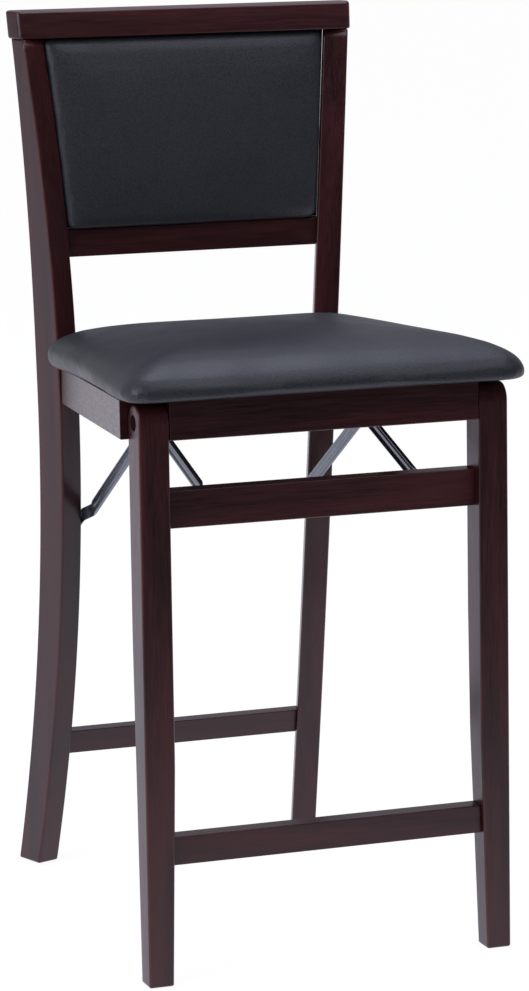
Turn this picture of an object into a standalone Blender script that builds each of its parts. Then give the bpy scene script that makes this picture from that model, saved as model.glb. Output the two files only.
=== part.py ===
"""Folding counter stool in dark stained wood, with a padded seat and back and steel fold braces.

Metres, +Z up, the front faces -Y. The origin is on the floor, in the middle of the stool's
footprint. Three wooden frames fold together: the front legs, the seat and the back legs. Steel links
under the seat guide the back legs, and two pairs of pressed braces spread the two leg frames. The stool is modelled open, as it stands in use.
"""

import math

import bmesh
import bpy
from mathutils import Matrix, Vector

# Fits
GAP = 0.0003
BORE_PLAY = 0.0003

# Overall
HEIGHT = 0.940
FRONT_LEAN = 0.042
SEAT_SLOPE = 0.0647

# Front legs: widths at the outer faces, measured at the foot's front face
FRONT_HALF_WIDTH = 0.1977
FRONT_LEG_WIDE = 0.0318
FRONT_LEG_DEEP = 0.0332
FRONT_FOOT_WIDE = 0.0262
FRONT_FOOT_DEEP = 0.0245
TAPER_START = 0.225
REAR_TAPER_START = 0.350
FOOT_CHAMFER = 0.0022
LEG_EDGE = 0.0014

# Seat pivot: a bolt through the top of each front leg
PIVOT_HEIGHT = 0.5679
LEG_CROWN = 0.0182
PIVOT_SINK_RADIUS = 0.0082
PIVOT_SINK_DEPTH = 0.0085
PIVOT_SHANK_RADIUS = 0.0038
PIVOT_HEAD_RADIUS = 0.0072
PIVOT_HEAD_HIGH = 0.0048

# Front rails
FOOTREST_LOW = 0.1217
FOOTREST_HIGH = 0.0289
FOOTREST_RECESS = 0.0066
FOOTREST_THICK = 0.0200
RAIL_EDGE = 0.0012
STRETCHER_LOW = 0.4610
STRETCHER_HIGH = 0.0377
STRETCHER_RECESS = 0.0120
STRETCHER_THICK = 0.0200

# Back legs: sabre-shaped boards, turned out by BACK_TOE and spread by BACK_SPREAD
BACK_TOE = 0.3585
BACK_SPREAD = 0.0379
BACK_LEG_THICK = 0.0267
BACK_BELLY_HEIGHT = 0.550
BACK_BELLY_Y = 0.3893
BACK_BELLY_HALF_X = 0.1588
BACK_FOOT_SWEEP = 0.0725
BACK_TOP_SWEEP = 0.0330
BACK_FOOT_DEEP = 0.0355
BACK_BELLY_DEEP = 0.0402
BACK_TOP_DEEP = 0.0212
BACK_TAPER_POWER = 1.6

# Crest and back rails
CREST_HIGH = 0.0285
CREST_DEEP = 0.0300
CREST_SET_BACK = 0.0005
CREST_OVERHANG = 0.0013
CREST_EDGE = 0.0022
BACK_RAIL_LOW = 0.6808
BACK_RAIL_HIGH = 0.0289
BACK_RAIL_THICK = 0.0190
REAR_STRETCHER_LOW = 0.1267
REAR_STRETCHER_HIGH = 0.0263
REAR_STRETCHER_THICK = 0.0190
RAIL_SET_BACK = 0.0050
CROSS_RAIL_LOW = 0.5130
CROSS_RAIL_HIGH = 0.0480
CROSS_RAIL_THICK = 0.0180
CROSS_RAIL_SET_BACK = 0.0165
DOWEL_RADIUS = 0.0040
DOWEL_INTO_LEG = 0.0140
DOWEL_INTO_RAIL = 0.0180
DOWEL_SPACE = 0.0004

# Back pad
PAD_PLAY = 0.0012
PAD_THICK = 0.0110
PAD_CROWN = 0.0050
PAD_ROLL = 0.0070
PAD_FRONT_SET = 0.0010
PAD_BOARD_THICK = 0.0050

# Seat frame, in the seat's own directions: along it from the pivot, and up from the pivot
FRAME_LOW = -0.0180
FRAME_TOP = 0.0216
APRON_THICK = 0.0100
RAIL_THICK = 0.0200
RAIL_HALF_FRONT = 0.2050
RAIL_HALF_REAR = 0.1570
RAIL_START = 0.0190
RAIL_END_GAP = 0.0008
BATTEN_HALF_WIDE = 0.0880
BATTEN_LONG = 0.0300
BATTEN_HIGH = 0.0200
BATTEN_INSET = 0.0140
BLOCK_WIDE = 0.0280
BLOCK_LONG = 0.0640
BOARD_THICK = 0.0110
BOARD_INSET = 0.0180

# Seat cushion
CUSHION_FRONT_OVERHANG = 0.0270
CUSHION_HALF_FRONT = 0.2185
CUSHION_HALF_REAR = 0.1830
CUSHION_LONG = 0.3850
CUSHION_FRONT_CORNER = 0.0300
CUSHION_REAR_CORNER = 0.0330
CUSHION_HIGH = 0.0545
CUSHION_DRAW_IN = 0.0025

# Spreader braces: pressed steel, each a flat web with lips along its edges
BRACE_HALF_WIDE = 0.00825
BRACE_WEB = 0.0020
BRACE_LIP = 0.0035
BRACE_LIP_THICK = 0.0016
BRACE_LIP_START = 0.0150
REAR_BRACE_X = 0.1180
LAYER_GAP = 0.0005
TAB_LONG = 0.0120
TAB_RAMP = 0.0160
TAB_GAP = 0.0008
PIN_RADIUS = 0.0025
PIN_HEAD_RADIUS = 0.0045
PIN_HEAD_HIGH = 0.0014
SLEEVE_RADIUS = 0.0050
SLEEVE_SINK = 0.0022
SCREW_BITE = 0.0130
LUG_THICK = 0.0020
LUG_HALF_HIGH = 0.0065
PLATE_THICK = 0.0020
PLATE_WIDE = 0.0240
PLATE_HIGH = 0.0220

# Seat links: flat bars under the seat that carry its rear and guide the back legs
LINK_X = 0.0960
LINK_THICK = 0.0030
LINK_HALF_WIDE = 0.0060
LINK_TAB_DROP = 0.0075
LINK_TAB_HALF = 0.0110
LINK_FOOT_WIDE = 0.0180

# Fold: pivots in the side view, measured from the seat pivot as (back, up)
BRACE_CROSSING = Vector((0.1705, -0.0354))
BACK_PIVOT = Vector((0.3760, -0.1740))
STRETCHER_PIVOT = Vector((0.0209, -0.0810))
LINK_SEAT_PIVOT = Vector((0.1660, -0.0171))
LINK_BACK_PIVOT = Vector((0.3440, -0.0120))

ROUND = 20

SIDES = (("left", -1.0), ("right", 1.0))


def front_face(height):
    """Front face of the front legs at a height, before the footprint is centred."""
    return FRONT_LEAN * height


PIVOT_Y = front_face(PIVOT_HEIGHT) + FRONT_LEG_DEEP / 2
POST_TOP = HEIGHT - CREST_HIGH - GAP


def back_front_edge(height):
    """The back leg's outer front edge: one parabola down to the foot, another up to the crest."""
    if height < BACK_BELLY_HEIGHT:
        share = (BACK_BELLY_HEIGHT - height) / BACK_BELLY_HEIGHT
        return BACK_BELLY_Y + BACK_FOOT_SWEEP * share ** 2
    share = (height - BACK_BELLY_HEIGHT) / (POST_TOP - BACK_BELLY_HEIGHT)
    return BACK_BELLY_Y + BACK_TOP_SWEEP * share ** 2


def back_depth(height):
    """The back leg's depth along its own board: fullest at the seat, slim at the top."""
    if height < BACK_BELLY_HEIGHT:
        share = (BACK_BELLY_HEIGHT - height) / BACK_BELLY_HEIGHT
        return BACK_BELLY_DEEP + (BACK_FOOT_DEEP - BACK_BELLY_DEEP) * share ** 2
    share = (height - BACK_BELLY_HEIGHT) / (POST_TOP - BACK_BELLY_HEIGHT)
    return BACK_BELLY_DEEP + (BACK_TOP_DEEP - BACK_BELLY_DEEP) * share ** BACK_TAPER_POWER


def back_outer_x(y, height):
    """Half width at the outer face of a back leg: a plane, turned out and spread."""
    return (BACK_BELLY_HALF_X + BACK_SPREAD * (height - BACK_BELLY_HEIGHT)
            + BACK_TOE * (y - BACK_BELLY_Y))


TOE_LENGTH = math.hypot(1.0, BACK_TOE)
TOE_ACROSS = 1.0 / TOE_LENGTH
TOE_ALONG = BACK_TOE / TOE_LENGTH


def back_inner_x(y, height):
    """Half width at the inner face of a back leg."""
    return back_outer_x(y, height) - BACK_LEG_THICK * TOE_LENGTH


def back_inner_front_y(height):
    """Where the inner face starts, behind the outer front edge because the board is turned."""
    return back_front_edge(height) + BACK_LEG_THICK * TOE_ALONG


FOOT_BACK = (back_inner_front_y(FOOT_CHAMFER) + back_depth(FOOT_CHAMFER) * TOE_ACROSS
             - LEG_EDGE * TOE_ALONG)
CENTRE_Y = (front_face(FOOT_CHAMFER) + FOOT_BACK) / 2


def world(x, y, z):
    return Vector((x, y - CENTRE_Y, z))


SEAT_COS = 1.0 / math.hypot(1.0, SEAT_SLOPE)
SEAT_SIN = SEAT_SLOPE * SEAT_COS


def seat(x, along, up):
    """A point in the seat's own directions: along it from the pivot, and up from the pivot."""
    y = PIVOT_Y + along * SEAT_COS + up * SEAT_SIN
    z = PIVOT_HEIGHT - along * SEAT_SIN + up * SEAT_COS
    return world(x, y, z)


def side_view(point, x):
    """A fold pivot, given from the seat pivot as (back, up), as a world point."""
    return world(x, PIVOT_Y + point.x, PIVOT_HEIGHT + point.y)


def remove_all():
    for obj in list(bpy.data.objects):
        bpy.data.objects.remove(obj, do_unlink=True)


def material(name, colour, roughness, metallic=0.0):
    mat = bpy.data.materials.new(name)
    mat.use_nodes = True
    shader = mat.node_tree.nodes["Principled BSDF"]
    shader.inputs["Base Color"].default_value = (*colour, 1.0)
    shader.inputs["Roughness"].default_value = roughness
    shader.inputs["Metallic"].default_value = metallic
    mat.diffuse_color = (*colour, 1.0)
    return mat


def finish(name, bm, mat, origin, merge=True):
    """Put a bmesh in the scene with its origin on the given point."""
    if merge:
        bmesh.ops.remove_doubles(bm, verts=bm.verts, dist=0.00001)
    bmesh.ops.recalc_face_normals(bm, faces=bm.faces)
    mesh = bpy.data.meshes.new(name)
    bm.to_mesh(mesh)
    bm.free()
    mesh.transform(Matrix.Translation(-origin))
    obj = bpy.data.objects.new(name, mesh)
    obj.location = origin
    mesh.materials.append(mat)
    bpy.context.scene.collection.objects.link(obj)
    return obj


def ring_solid(rings):
    """A closed solid through rings of points, each ring capped at the ends."""
    bm = bmesh.new()
    loops = [[bm.verts.new(point) for point in ring] for ring in rings]
    count = len(loops[0])
    for low, high in zip(loops, loops[1:]):
        for i in range(count):
            j = (i + 1) % count
            bm.faces.new((low[i], low[j], high[j], high[i]))
    bm.faces.new(list(reversed(loops[0])))
    bm.faces.new(loops[-1])
    return bm


def cylinder_x(x0, x1, centre, radius, count=ROUND):
    """A round bar along X between two half widths."""
    rings = []
    for x in (x0, x1):
        rings.append([Vector((x, centre.y + radius * math.cos(2 * math.pi * i / count),
                              centre.z + radius * math.sin(2 * math.pi * i / count)))
                      for i in range(count)])
    return ring_solid(rings)


def stepped_bar_x(steps, centre, count=ROUND):
    """A turned pin along X: (x, radius) pairs from end to end."""
    rings = []
    for x, radius in steps:
        rings.append([Vector((x, centre.y + radius * math.cos(2 * math.pi * i / count),
                              centre.z + radius * math.sin(2 * math.pi * i / count)))
                      for i in range(count)])
    return ring_solid(rings)


def boolean(obj, bm_cutter, operation="DIFFERENCE"):
    """Cut or join a bmesh into an object and keep the result as its mesh."""
    bmesh.ops.recalc_face_normals(bm_cutter, faces=bm_cutter.faces)
    mesh = bpy.data.meshes.new("cutter")
    bm_cutter.to_mesh(mesh)
    bm_cutter.free()
    cutter = bpy.data.objects.new("cutter", mesh)
    cutter.hide_render = True
    cutter.display_type = "WIRE"
    bpy.context.scene.collection.objects.link(cutter)
    modifier = obj.modifiers.new("cut", "BOOLEAN")
    modifier.operation = operation
    modifier.solver = "EXACT"
    modifier.object = cutter
    bpy.context.view_layer.update()
    evaluated = obj.evaluated_get(bpy.context.evaluated_depsgraph_get())
    result = bpy.data.meshes.new_from_object(evaluated)
    obj.modifiers.remove(modifier)
    obj.data = result
    bpy.data.objects.remove(cutter, do_unlink=True)
    return obj


def corner_cut(points, cut):
    """A plan outline with each corner cut off by a small flat."""
    result = []
    count = len(points)
    for i, point in enumerate(points):
        before = (points[i - 1] - point).normalized() * cut
        after = (points[(i + 1) % count] - point).normalized() * cut
        result.extend((point + before, point + after))
    return result


def front_leg(side, sign, wood):
    """Square leg that tapers on its inner and rear faces to the foot, with a crowned top."""
    heights = [0.0, FOOT_CHAMFER, TAPER_START, REAR_TAPER_START, PIVOT_HEIGHT]
    rings = []
    for height in heights:
        wide = FRONT_HALF_WIDTH - inner_width_at_front(height)
        share = max(0.0, (REAR_TAPER_START - height) / REAR_TAPER_START)
        deep = FRONT_LEG_DEEP + (FRONT_FOOT_DEEP - FRONT_LEG_DEEP) * share
        trim = FOOT_CHAMFER if height == 0.0 else 0.0
        y0 = front_face(height)
        outer = FRONT_HALF_WIDTH
        plan = [Vector((outer - trim, y0 + trim)), Vector((outer - trim, y0 + deep - trim)),
                Vector((outer - wide + trim, y0 + deep - trim)), Vector((outer - wide + trim, y0 + trim))]
        plan = corner_cut(plan, LEG_EDGE)
        rings.append([world(sign * p.x, p.y, height) for p in plan])
    for step in range(1, 8):
        angle = math.radians(11.5 * step)
        height = PIVOT_HEIGHT + LEG_CROWN * math.sin(angle)
        half = FRONT_LEG_DEEP / 2 * math.cos(angle)
        middle = front_face(PIVOT_HEIGHT) + FRONT_LEG_DEEP / 2
        plan = [Vector((FRONT_HALF_WIDTH, middle - half)), Vector((FRONT_HALF_WIDTH, middle + half)),
                Vector((FRONT_HALF_WIDTH - FRONT_LEG_WIDE, middle + half)),
                Vector((FRONT_HALF_WIDTH - FRONT_LEG_WIDE, middle - half))]
        plan = corner_cut(plan, LEG_EDGE)
        rings.append([world(sign * p.x, p.y, height) for p in plan])
    leg = finish("front_leg_" + side, ring_solid(rings), wood, world(0.0, 0.0, 0.0))
    centre = world(0.0, PIVOT_Y, PIVOT_HEIGHT)
    inner = FRONT_HALF_WIDTH - FRONT_LEG_WIDE
    boolean(leg, cylinder_x(sign * (FRONT_HALF_WIDTH - PIVOT_SINK_DEPTH), sign * (FRONT_HALF_WIDTH + 0.01),
                            centre, PIVOT_SINK_RADIUS))
    boolean(leg, cylinder_x(sign * (inner - 0.01), sign * (FRONT_HALF_WIDTH - PIVOT_SINK_DEPTH + 0.001),
                            centre, PIVOT_SHANK_RADIUS + BORE_PLAY))
    return leg


def pivot_bolt(side, sign, steel):
    """Bolt that the seat turns on: its head is sunk in the leg, its shank ends in the seat's block."""
    centre = world(0.0, PIVOT_Y, PIVOT_HEIGHT)
    seat_end = FRONT_HALF_WIDTH - FRONT_LEG_WIDE - BLOCK_WIDE + 0.006
    head_low = FRONT_HALF_WIDTH - PIVOT_SINK_DEPTH + GAP
    steps = [(sign * seat_end, PIVOT_SHANK_RADIUS), (sign * head_low, PIVOT_SHANK_RADIUS),
             (sign * head_low, PIVOT_HEAD_RADIUS),
             (sign * (head_low + PIVOT_HEAD_HIGH * 0.7), PIVOT_HEAD_RADIUS),
             (sign * (head_low + PIVOT_HEAD_HIGH), PIVOT_HEAD_RADIUS * 0.75)]
    return finish("pivot_bolt_" + side, stepped_bar_x(steps, centre), steel, centre, merge=False)


def board_x(name, section, half_width, mat, origin):
    """A board along X from its (y, z) section, its ends cut where half_width says."""
    plan = corner_cut([Vector(p) for p in section], RAIL_EDGE)
    rings = [[world(sign * half_width(p.x, p.y), p.x, p.y) for p in plan] for sign in (-1, 1)]
    return finish(name, ring_solid(rings), mat, origin)


def front_rail(name, low, high, recess, thick, wood):
    """A rail between the front legs, set back from their front faces."""
    section = [(front_face(low) + recess, low), (front_face(low) + recess + thick, low),
               (front_face(low + high) + recess + thick, low + high), (front_face(low + high) + recess, low + high)]
    return board_x(name, section, lambda y, z: inner_width_at_front(z) - GAP, wood, world(0.0, 0.0, 0.0))


def soften(obj, width):
    """Break the long edges of a board by a small bevel."""
    modifier = obj.modifiers.new("edges", "BEVEL")
    modifier.width = width
    modifier.segments = 1
    modifier.limit_method = "ANGLE"
    modifier.angle_limit = math.radians(60)


def inner_width_at_front(height):
    """Half width between the front legs at a height, where the taper widens it."""
    share = max(0.0, (TAPER_START - height) / TAPER_START)
    return FRONT_HALF_WIDTH - FRONT_LEG_WIDE - (FRONT_FOOT_WIDE - FRONT_LEG_WIDE) * share


def back_leg(side, sign, wood):
    """Sabre leg: a turned-out rectangle carried up the front-edge curve."""
    count = 30
    heights = [FOOT_CHAMFER + (POST_TOP - FOOT_CHAMFER) * i / count for i in range(count + 1)]
    rings = []
    for height in [0.0] + heights:
        trim = FOOT_CHAMFER if height == 0.0 else 0.0
        y0 = back_front_edge(height)
        x0 = back_outer_x(y0, height)
        deep = back_depth(height)
        along = Vector((TOE_ALONG, TOE_ACROSS))
        inwards = Vector((-TOE_ACROSS, TOE_ALONG))
        corner = Vector((x0, y0))
        plan = [corner + along * trim + inwards * trim, corner + along * (deep - trim) + inwards * trim,
                corner + along * (deep - trim) + inwards * (BACK_LEG_THICK - trim),
                corner + along * trim + inwards * (BACK_LEG_THICK - trim)]
        rings.append([world(sign * p.x, p.y, height) for p in corner_cut(plan, LEG_EDGE)])
    return finish("back_leg_" + side, ring_solid(rings), wood, side_view(BACK_PIVOT, 0.0))


def back_board(name, front_y, thick, low, high, mat):
    """A board between the back legs, its ends cut to their turned faces."""
    section = [(front_y(low), low), (front_y(low) + thick, low),
               (front_y(low + high) + thick, low + high), (front_y(low + high), low + high)]
    return board_x(name, section, lambda y, z: back_inner_x(y, z) - GAP, mat, side_view(BACK_PIVOT, 0.0))


def behind_leg_front(height):
    """Front plane of the rails between the back legs, just behind the legs' inner front edge."""
    return back_inner_front_y(height) + RAIL_SET_BACK


def behind_brace(height):
    """Front plane of the cross rail, far enough back for the folded braces to pass it."""
    return back_inner_front_y(height) + CROSS_RAIL_SET_BACK


def crest_rail(wood):
    """Cap rail over the post tops, its ends cut to the line of the posts' outer faces."""
    low = HEIGHT - CREST_HIGH
    slope = 2 * BACK_TOP_SWEEP / (POST_TOP - BACK_BELLY_HEIGHT)

    def plan(height):
        front = back_front_edge(POST_TOP) + CREST_SET_BACK + slope * (height - low)
        side = back_outer_x(back_front_edge(POST_TOP), POST_TOP) + CREST_OVERHANG
        side += BACK_SPREAD * (height - low) + 0.05 * (height - low)
        deep = BACK_TOP_DEEP * TOE_ACROSS
        return [Vector((-side, front)), Vector((side, front)),
                Vector((side + BACK_TOE * deep, front + deep)),
                Vector((side + BACK_TOE * deep - 0.006, front + CREST_DEEP)),
                Vector((-side - BACK_TOE * deep + 0.006, front + CREST_DEEP)),
                Vector((-side - BACK_TOE * deep, front + deep))]

    rings = [[world(p.x, p.y, z) for p in plan(z)] for z in (low, HEIGHT)]
    crest = finish("crest_rail", ring_solid(rings), wood, side_view(BACK_PIVOT, 0.0))
    modifier = crest.modifiers.new("edges", "BEVEL")
    modifier.width = CREST_EDGE
    modifier.segments = 2
    modifier.limit_method = "ANGLE"
    modifier.angle_limit = math.radians(50)
    return crest


def seat_half_width(along):
    """Outer half width of the seat frame, which narrows to the rear."""
    share = (along - RAIL_START) / (seat_rail_end() - RAIL_START)
    return RAIL_HALF_FRONT + (RAIL_HALF_REAR - RAIL_HALF_FRONT) * share


def seat_rail_end():
    """Where the side rails stop: against the back legs' front edges at the frame's height."""
    return (back_front_edge(PIVOT_HEIGHT) - PIVOT_Y) / SEAT_COS - RAIL_END_GAP - 0.0012


def seat_prism(name, plan, low, high, mat, origin):
    """A seat piece from a plan outline of (x, along) points, between two heights in the seat."""
    rings = [[seat(p.x, p.y, up) for p in plan] for up in (low, high)]
    return finish(name, ring_solid(rings), mat, origin)


def side_rail(side, sign, wood, origin):
    start = RAIL_START
    end = seat_rail_end()
    plan = [Vector((sign * seat_half_width(start), start)), Vector((sign * seat_half_width(end), end)),
            Vector((sign * (seat_half_width(end) - RAIL_THICK), end)),
            Vector((sign * (seat_half_width(start) - RAIL_THICK), start))]
    rail = seat_prism("side_rail_" + side, plan, FRAME_LOW, FRAME_TOP, wood, origin)
    soften(rail, 0.0008)
    return rail


def pivot_block(side, sign, wood, origin):
    """Corner block that takes the pivot bolt and ties the apron to the side rail."""
    inner = FRONT_HALF_WIDTH - FRONT_LEG_WIDE - GAP
    start = -FRONT_LEG_DEEP / 2 + APRON_THICK + GAP
    step = RAIL_START
    far = BLOCK_LONG

    def against_rail(along):
        return seat_half_width(along) - RAIL_THICK - GAP

    plan = [Vector((sign * (inner - BLOCK_WIDE), start)), Vector((sign * inner, start)),
            Vector((sign * inner, step)), Vector((sign * against_rail(step), step)),
            Vector((sign * against_rail(far), far)), Vector((sign * (inner - BLOCK_WIDE), far))]
    block = seat_prism("pivot_block_" + side, plan, FRAME_LOW + 0.001, FRAME_TOP, wood, origin)
    centre = world(0.0, PIVOT_Y, PIVOT_HEIGHT)
    boolean(block, cylinder_x(sign * (inner - BLOCK_WIDE + 0.004), sign * (inner + 0.01), centre,
                              PIVOT_SHANK_RADIUS + BORE_PLAY))
    return block


def front_apron(wood, origin):
    """Apron between the front legs, flush with their fronts."""
    half = FRONT_HALF_WIDTH - FRONT_LEG_WIDE - 2 * GAP
    start = -FRONT_LEG_DEEP / 2
    plan = [Vector((-half, start)), Vector((half, start)),
            Vector((half, start + APRON_THICK)), Vector((-half, start + APRON_THICK))]
    apron = seat_prism("front_apron", plan, FRAME_LOW, FRAME_TOP, wood, origin)
    soften(apron, 0.0008)
    return apron


def seat_batten(wood, origin):
    """Batten under the rear of the seat board, between the links."""
    end = seat_rail_end() - BATTEN_INSET
    start = end - BATTEN_LONG
    plan = [Vector((-BATTEN_HALF_WIDE, start)), Vector((BATTEN_HALF_WIDE, start)),
            Vector((BATTEN_HALF_WIDE, end)), Vector((-BATTEN_HALF_WIDE, end))]
    return seat_prism("seat_batten", plan, FRAME_TOP - BATTEN_HIGH, FRAME_TOP, wood, origin)


def cushion_outline(inset, corner_steps=5, bow=0.0):
    """Trapezoid plan with round corners, drawn in between them; inset moves it all inwards."""
    front = -FRONT_LEG_DEEP / 2 - CUSHION_FRONT_OVERHANG + inset
    back = front - 2 * inset + CUSHION_LONG
    lean = (CUSHION_HALF_FRONT - CUSHION_HALF_REAR) / CUSHION_LONG

    def half(along):
        return CUSHION_HALF_FRONT - lean * (along - front + inset) - inset

    def arc(cx, cy, radius, start):
        return [Vector((cx + radius * math.cos(start + math.pi / 2 * i / corner_steps),
                        cy + radius * math.sin(start + math.pi / 2 * i / corner_steps)))
                for i in range(corner_steps + 1)]

    rf = max(CUSHION_FRONT_CORNER - inset, 0.012)
    rb = max(CUSHION_REAR_CORNER - inset, 0.012)
    right = arc(half(front + rf) - rf, front + rf, rf, -math.pi / 2)
    right += [Vector((half(front + (back - front) * t) - bow * math.sin(math.pi * t), front + (back - front) * t))
              for t in (0.3, 0.5, 0.7)]
    right += arc(half(back - rb) - rb, back - rb, rb, 0.0)
    left = [Vector((-p.x, p.y)) for p in reversed(right)]
    rear = [Vector((right[-1].x * t, back - bow * (1 - t * t))) for t in (0.5, 0.0, -0.5)]
    ahead = [Vector((right[0].x * t, front + bow * (1 - t * t))) for t in (-0.5, 0.0, 0.5)]
    return right + rear + left + ahead


def seat_cushion(vinyl, origin):
    """Upholstered pad: its rim hangs low in front, lifts to the rear, and rises to a crown."""
    rows = [(0.0220, 0.0, 0.0220, 0.0), (0.0080, 0.0, 0.0130, 0.0020), (0.0025, 0.0018, 0.0060, 0.0060),
            (0.0, 0.0100, 0.0, 0.0170), (0.0016, 0.0165, 0.0008, 0.0220), (0.0062, 0.0235, 0.0048, 0.0282),
            (0.0140, 0.0300, 0.0125, 0.0336), (0.0290, 0.0375, 0.0270, 0.0395),
            (0.0560, 0.0448, 0.0540, 0.0455), (0.1000, 0.0512, 0.1000, 0.0514),
            (0.1500, 0.0545, 0.1500, 0.0545)]
    front = -FRONT_LEG_DEEP / 2 - CUSHION_FRONT_OVERHANG
    rise = CUSHION_HIGH / rows[-1][1]

    def rear_share(along):
        t = min(1.0, max(0.0, ((along - front) / CUSHION_LONG - 0.1) / 0.65))
        return t * t * (3 - 2 * t)

    rings = []
    for front_inset, front_up, rear_inset, rear_up in rows:
        bow = CUSHION_DRAW_IN if front_inset < 0.02 else 0.0
        ring = []
        for low, high in zip(cushion_outline(front_inset, bow=bow), cushion_outline(rear_inset, bow=bow)):
            share = rear_share(low.y)
            plan = low.lerp(high, share)
            ring.append(seat(plan.x, plan.y, FRAME_TOP + GAP + rise * (front_up + (rear_up - front_up) * share)))
        rings.append(ring)
    cushion = finish("seat_cushion", ring_solid(rings), vinyl, origin)
    plan = cushion_outline(BOARD_INSET - GAP)
    rings = [[seat(p.x, p.y, up) for p in plan]
             for up in (FRAME_TOP - 0.01, FRAME_TOP + GAP + BOARD_THICK + GAP)]
    boolean(cushion, ring_solid(rings))
    return cushion


def pad_rings():
    """Rings of the back pad from its back to its crowned front."""
    low = BACK_RAIL_LOW + BACK_RAIL_HIGH + PAD_PLAY
    high = HEIGHT - CREST_HIGH - PAD_PLAY
    deep = PAD_THICK + PAD_CROWN

    def outline(inset, forward):
        """Round-cornered outline, this far in front of the pad's back plane."""
        points = []
        z0, z1 = low + inset, high - inset
        corner = max(0.0060 - inset * 0.1, 0.004)
        for sign, z in ((1, z0), (1, z1), (-1, z1), (-1, z0)):
            inner = 1 if z == z0 else -1
            x = back_inner_x(back_inner_front_y(z), z) - PAD_PLAY - inset
            run_in = (sign * (x - corner), z)
            middle = (sign * (x - corner * 0.29), z + inner * corner * 0.29)
            run_out = (sign * x, z + inner * corner)
            order = (run_in, middle, run_out) if (sign > 0) == (z == z0) else (run_out, middle, run_in)
            for px, pz in order:
                points.append(world(px, back_inner_front_y(pz) + PAD_FRONT_SET + deep - forward, pz))
        return points

    rings = [outline(0.0015, 0.0), outline(0.0, 0.0015), outline(0.0, PAD_THICK - PAD_ROLL)]
    for step in range(1, 6):
        angle = math.pi / 2 * step / 5
        rings.append(outline(PAD_ROLL * (1 - math.cos(angle)), PAD_THICK - PAD_ROLL + PAD_ROLL * math.sin(angle)))
    for inset, share in ((0.018, 0.45), (0.036, 0.80), (0.060, 1.0)):
        rings.append(outline(PAD_ROLL + inset, PAD_THICK + PAD_CROWN * share))
    return rings


def back_pad(vinyl):
    return finish("back_pad", ring_solid(pad_rings()), vinyl,
                  side_view(BACK_PIVOT, 0.0))


def back_pad_board(mat):
    """Board behind the pad, cut to the posts' inner faces."""
    low = BACK_RAIL_LOW + BACK_RAIL_HIGH + GAP
    high = HEIGHT - CREST_HIGH - GAP - low

    def front(height):
        return back_inner_front_y(height) + PAD_FRONT_SET + PAD_THICK + PAD_CROWN + GAP

    return back_board("back_pad_board", front, PAD_BOARD_THICK, low, high, mat)


def strap(sign, start, end, half, stations):
    """A flat bar with round ends along a side-view line: (distance, inner x, outer x) stations."""
    line = (end - start).normalized()
    up = Vector((-line.y, line.x))
    length = (end - start).length
    turns = [math.radians(angle) for angle in (20, 45, 70, 90)]
    first, last = stations[0], stations[-1]
    sections = [(-half * math.cos(t), half * math.sin(t), first[1], first[2]) for t in turns]
    sections += [(at, half, x0, x1) for at, x0, x1 in stations[1:-1]]
    sections += [(length + half * math.cos(t), half * math.sin(t), last[1], last[2]) for t in reversed(turns)]
    rings = []
    for at, reach, x0, x1 in sections:
        middle = start + line * at
        rings.append([side_view(middle - up * reach, sign * x0), side_view(middle - up * reach, sign * x1),
                      side_view(middle + up * reach, sign * x1), side_view(middle + up * reach, sign * x0)])
    return ring_solid(rings)


def add_lips(bar, sign, start, end, from_x, to_x, first, last):
    """Lips along both edges of a brace, between two distances from its start."""
    line = (end - start).normalized()
    up = Vector((-line.y, line.x))
    for edge in (-1.0, 1.0):
        rings = []
        for at in (first, last):
            outer = start + line * at + up * edge * BRACE_HALF_WIDE
            inner = start + line * at + up * edge * (BRACE_HALF_WIDE - BRACE_LIP_THICK)
            rings.append([side_view(inner, sign * from_x), side_view(inner, sign * to_x),
                          side_view(outer, sign * to_x), side_view(outer, sign * from_x)])
        boolean(bar, ring_solid(rings), "UNION")


def drill(obj, sign, pivot, from_x, to_x, radius=PIN_RADIUS + BORE_PLAY):
    boolean(obj, cylinder_x(sign * from_x, sign * to_x, side_view(pivot, 0.0), radius))


def tab_outer_x():
    """Outer face of the rear brace's flat end: just inside the leg's inner front corner."""
    height = PIVOT_HEIGHT + BACK_PIVOT.y
    return back_inner_x(back_inner_front_y(height), height) - TAB_GAP


def rear_brace(side, sign, steel):
    """Brace from the crossing down to the back leg, its lower end set out against the leg."""
    x0, x1 = REAR_BRACE_X, REAR_BRACE_X + BRACE_WEB
    t0, t1 = tab_outer_x() - BRACE_WEB, tab_outer_x()
    length = (BACK_PIVOT - BRACE_CROSSING).length
    ramp = length - TAB_LONG - TAB_RAMP
    stations = [(0.0, x0, x1), (ramp, x0, x1), (length - TAB_LONG, t0, t1), (length, t0, t1)]
    bar = finish("rear_brace_" + side, strap(sign, BRACE_CROSSING, BACK_PIVOT, BRACE_HALF_WIDE, stations), steel,
                 side_view(BACK_PIVOT, 0.0))
    add_lips(bar, sign, BRACE_CROSSING, BACK_PIVOT, x0 + BRACE_WEB / 2, x1 + BRACE_LIP, BRACE_LIP_START,
             ramp - 0.002)
    drill(bar, sign, BRACE_CROSSING, x0 - 0.01, x1 + 0.01)
    drill(bar, sign, BACK_PIVOT, t0 - 0.01, t1 + 0.01)
    return bar


def front_brace_x():
    """Outer face of the front brace's web, inside the rear brace."""
    return REAR_BRACE_X - LAYER_GAP


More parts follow.
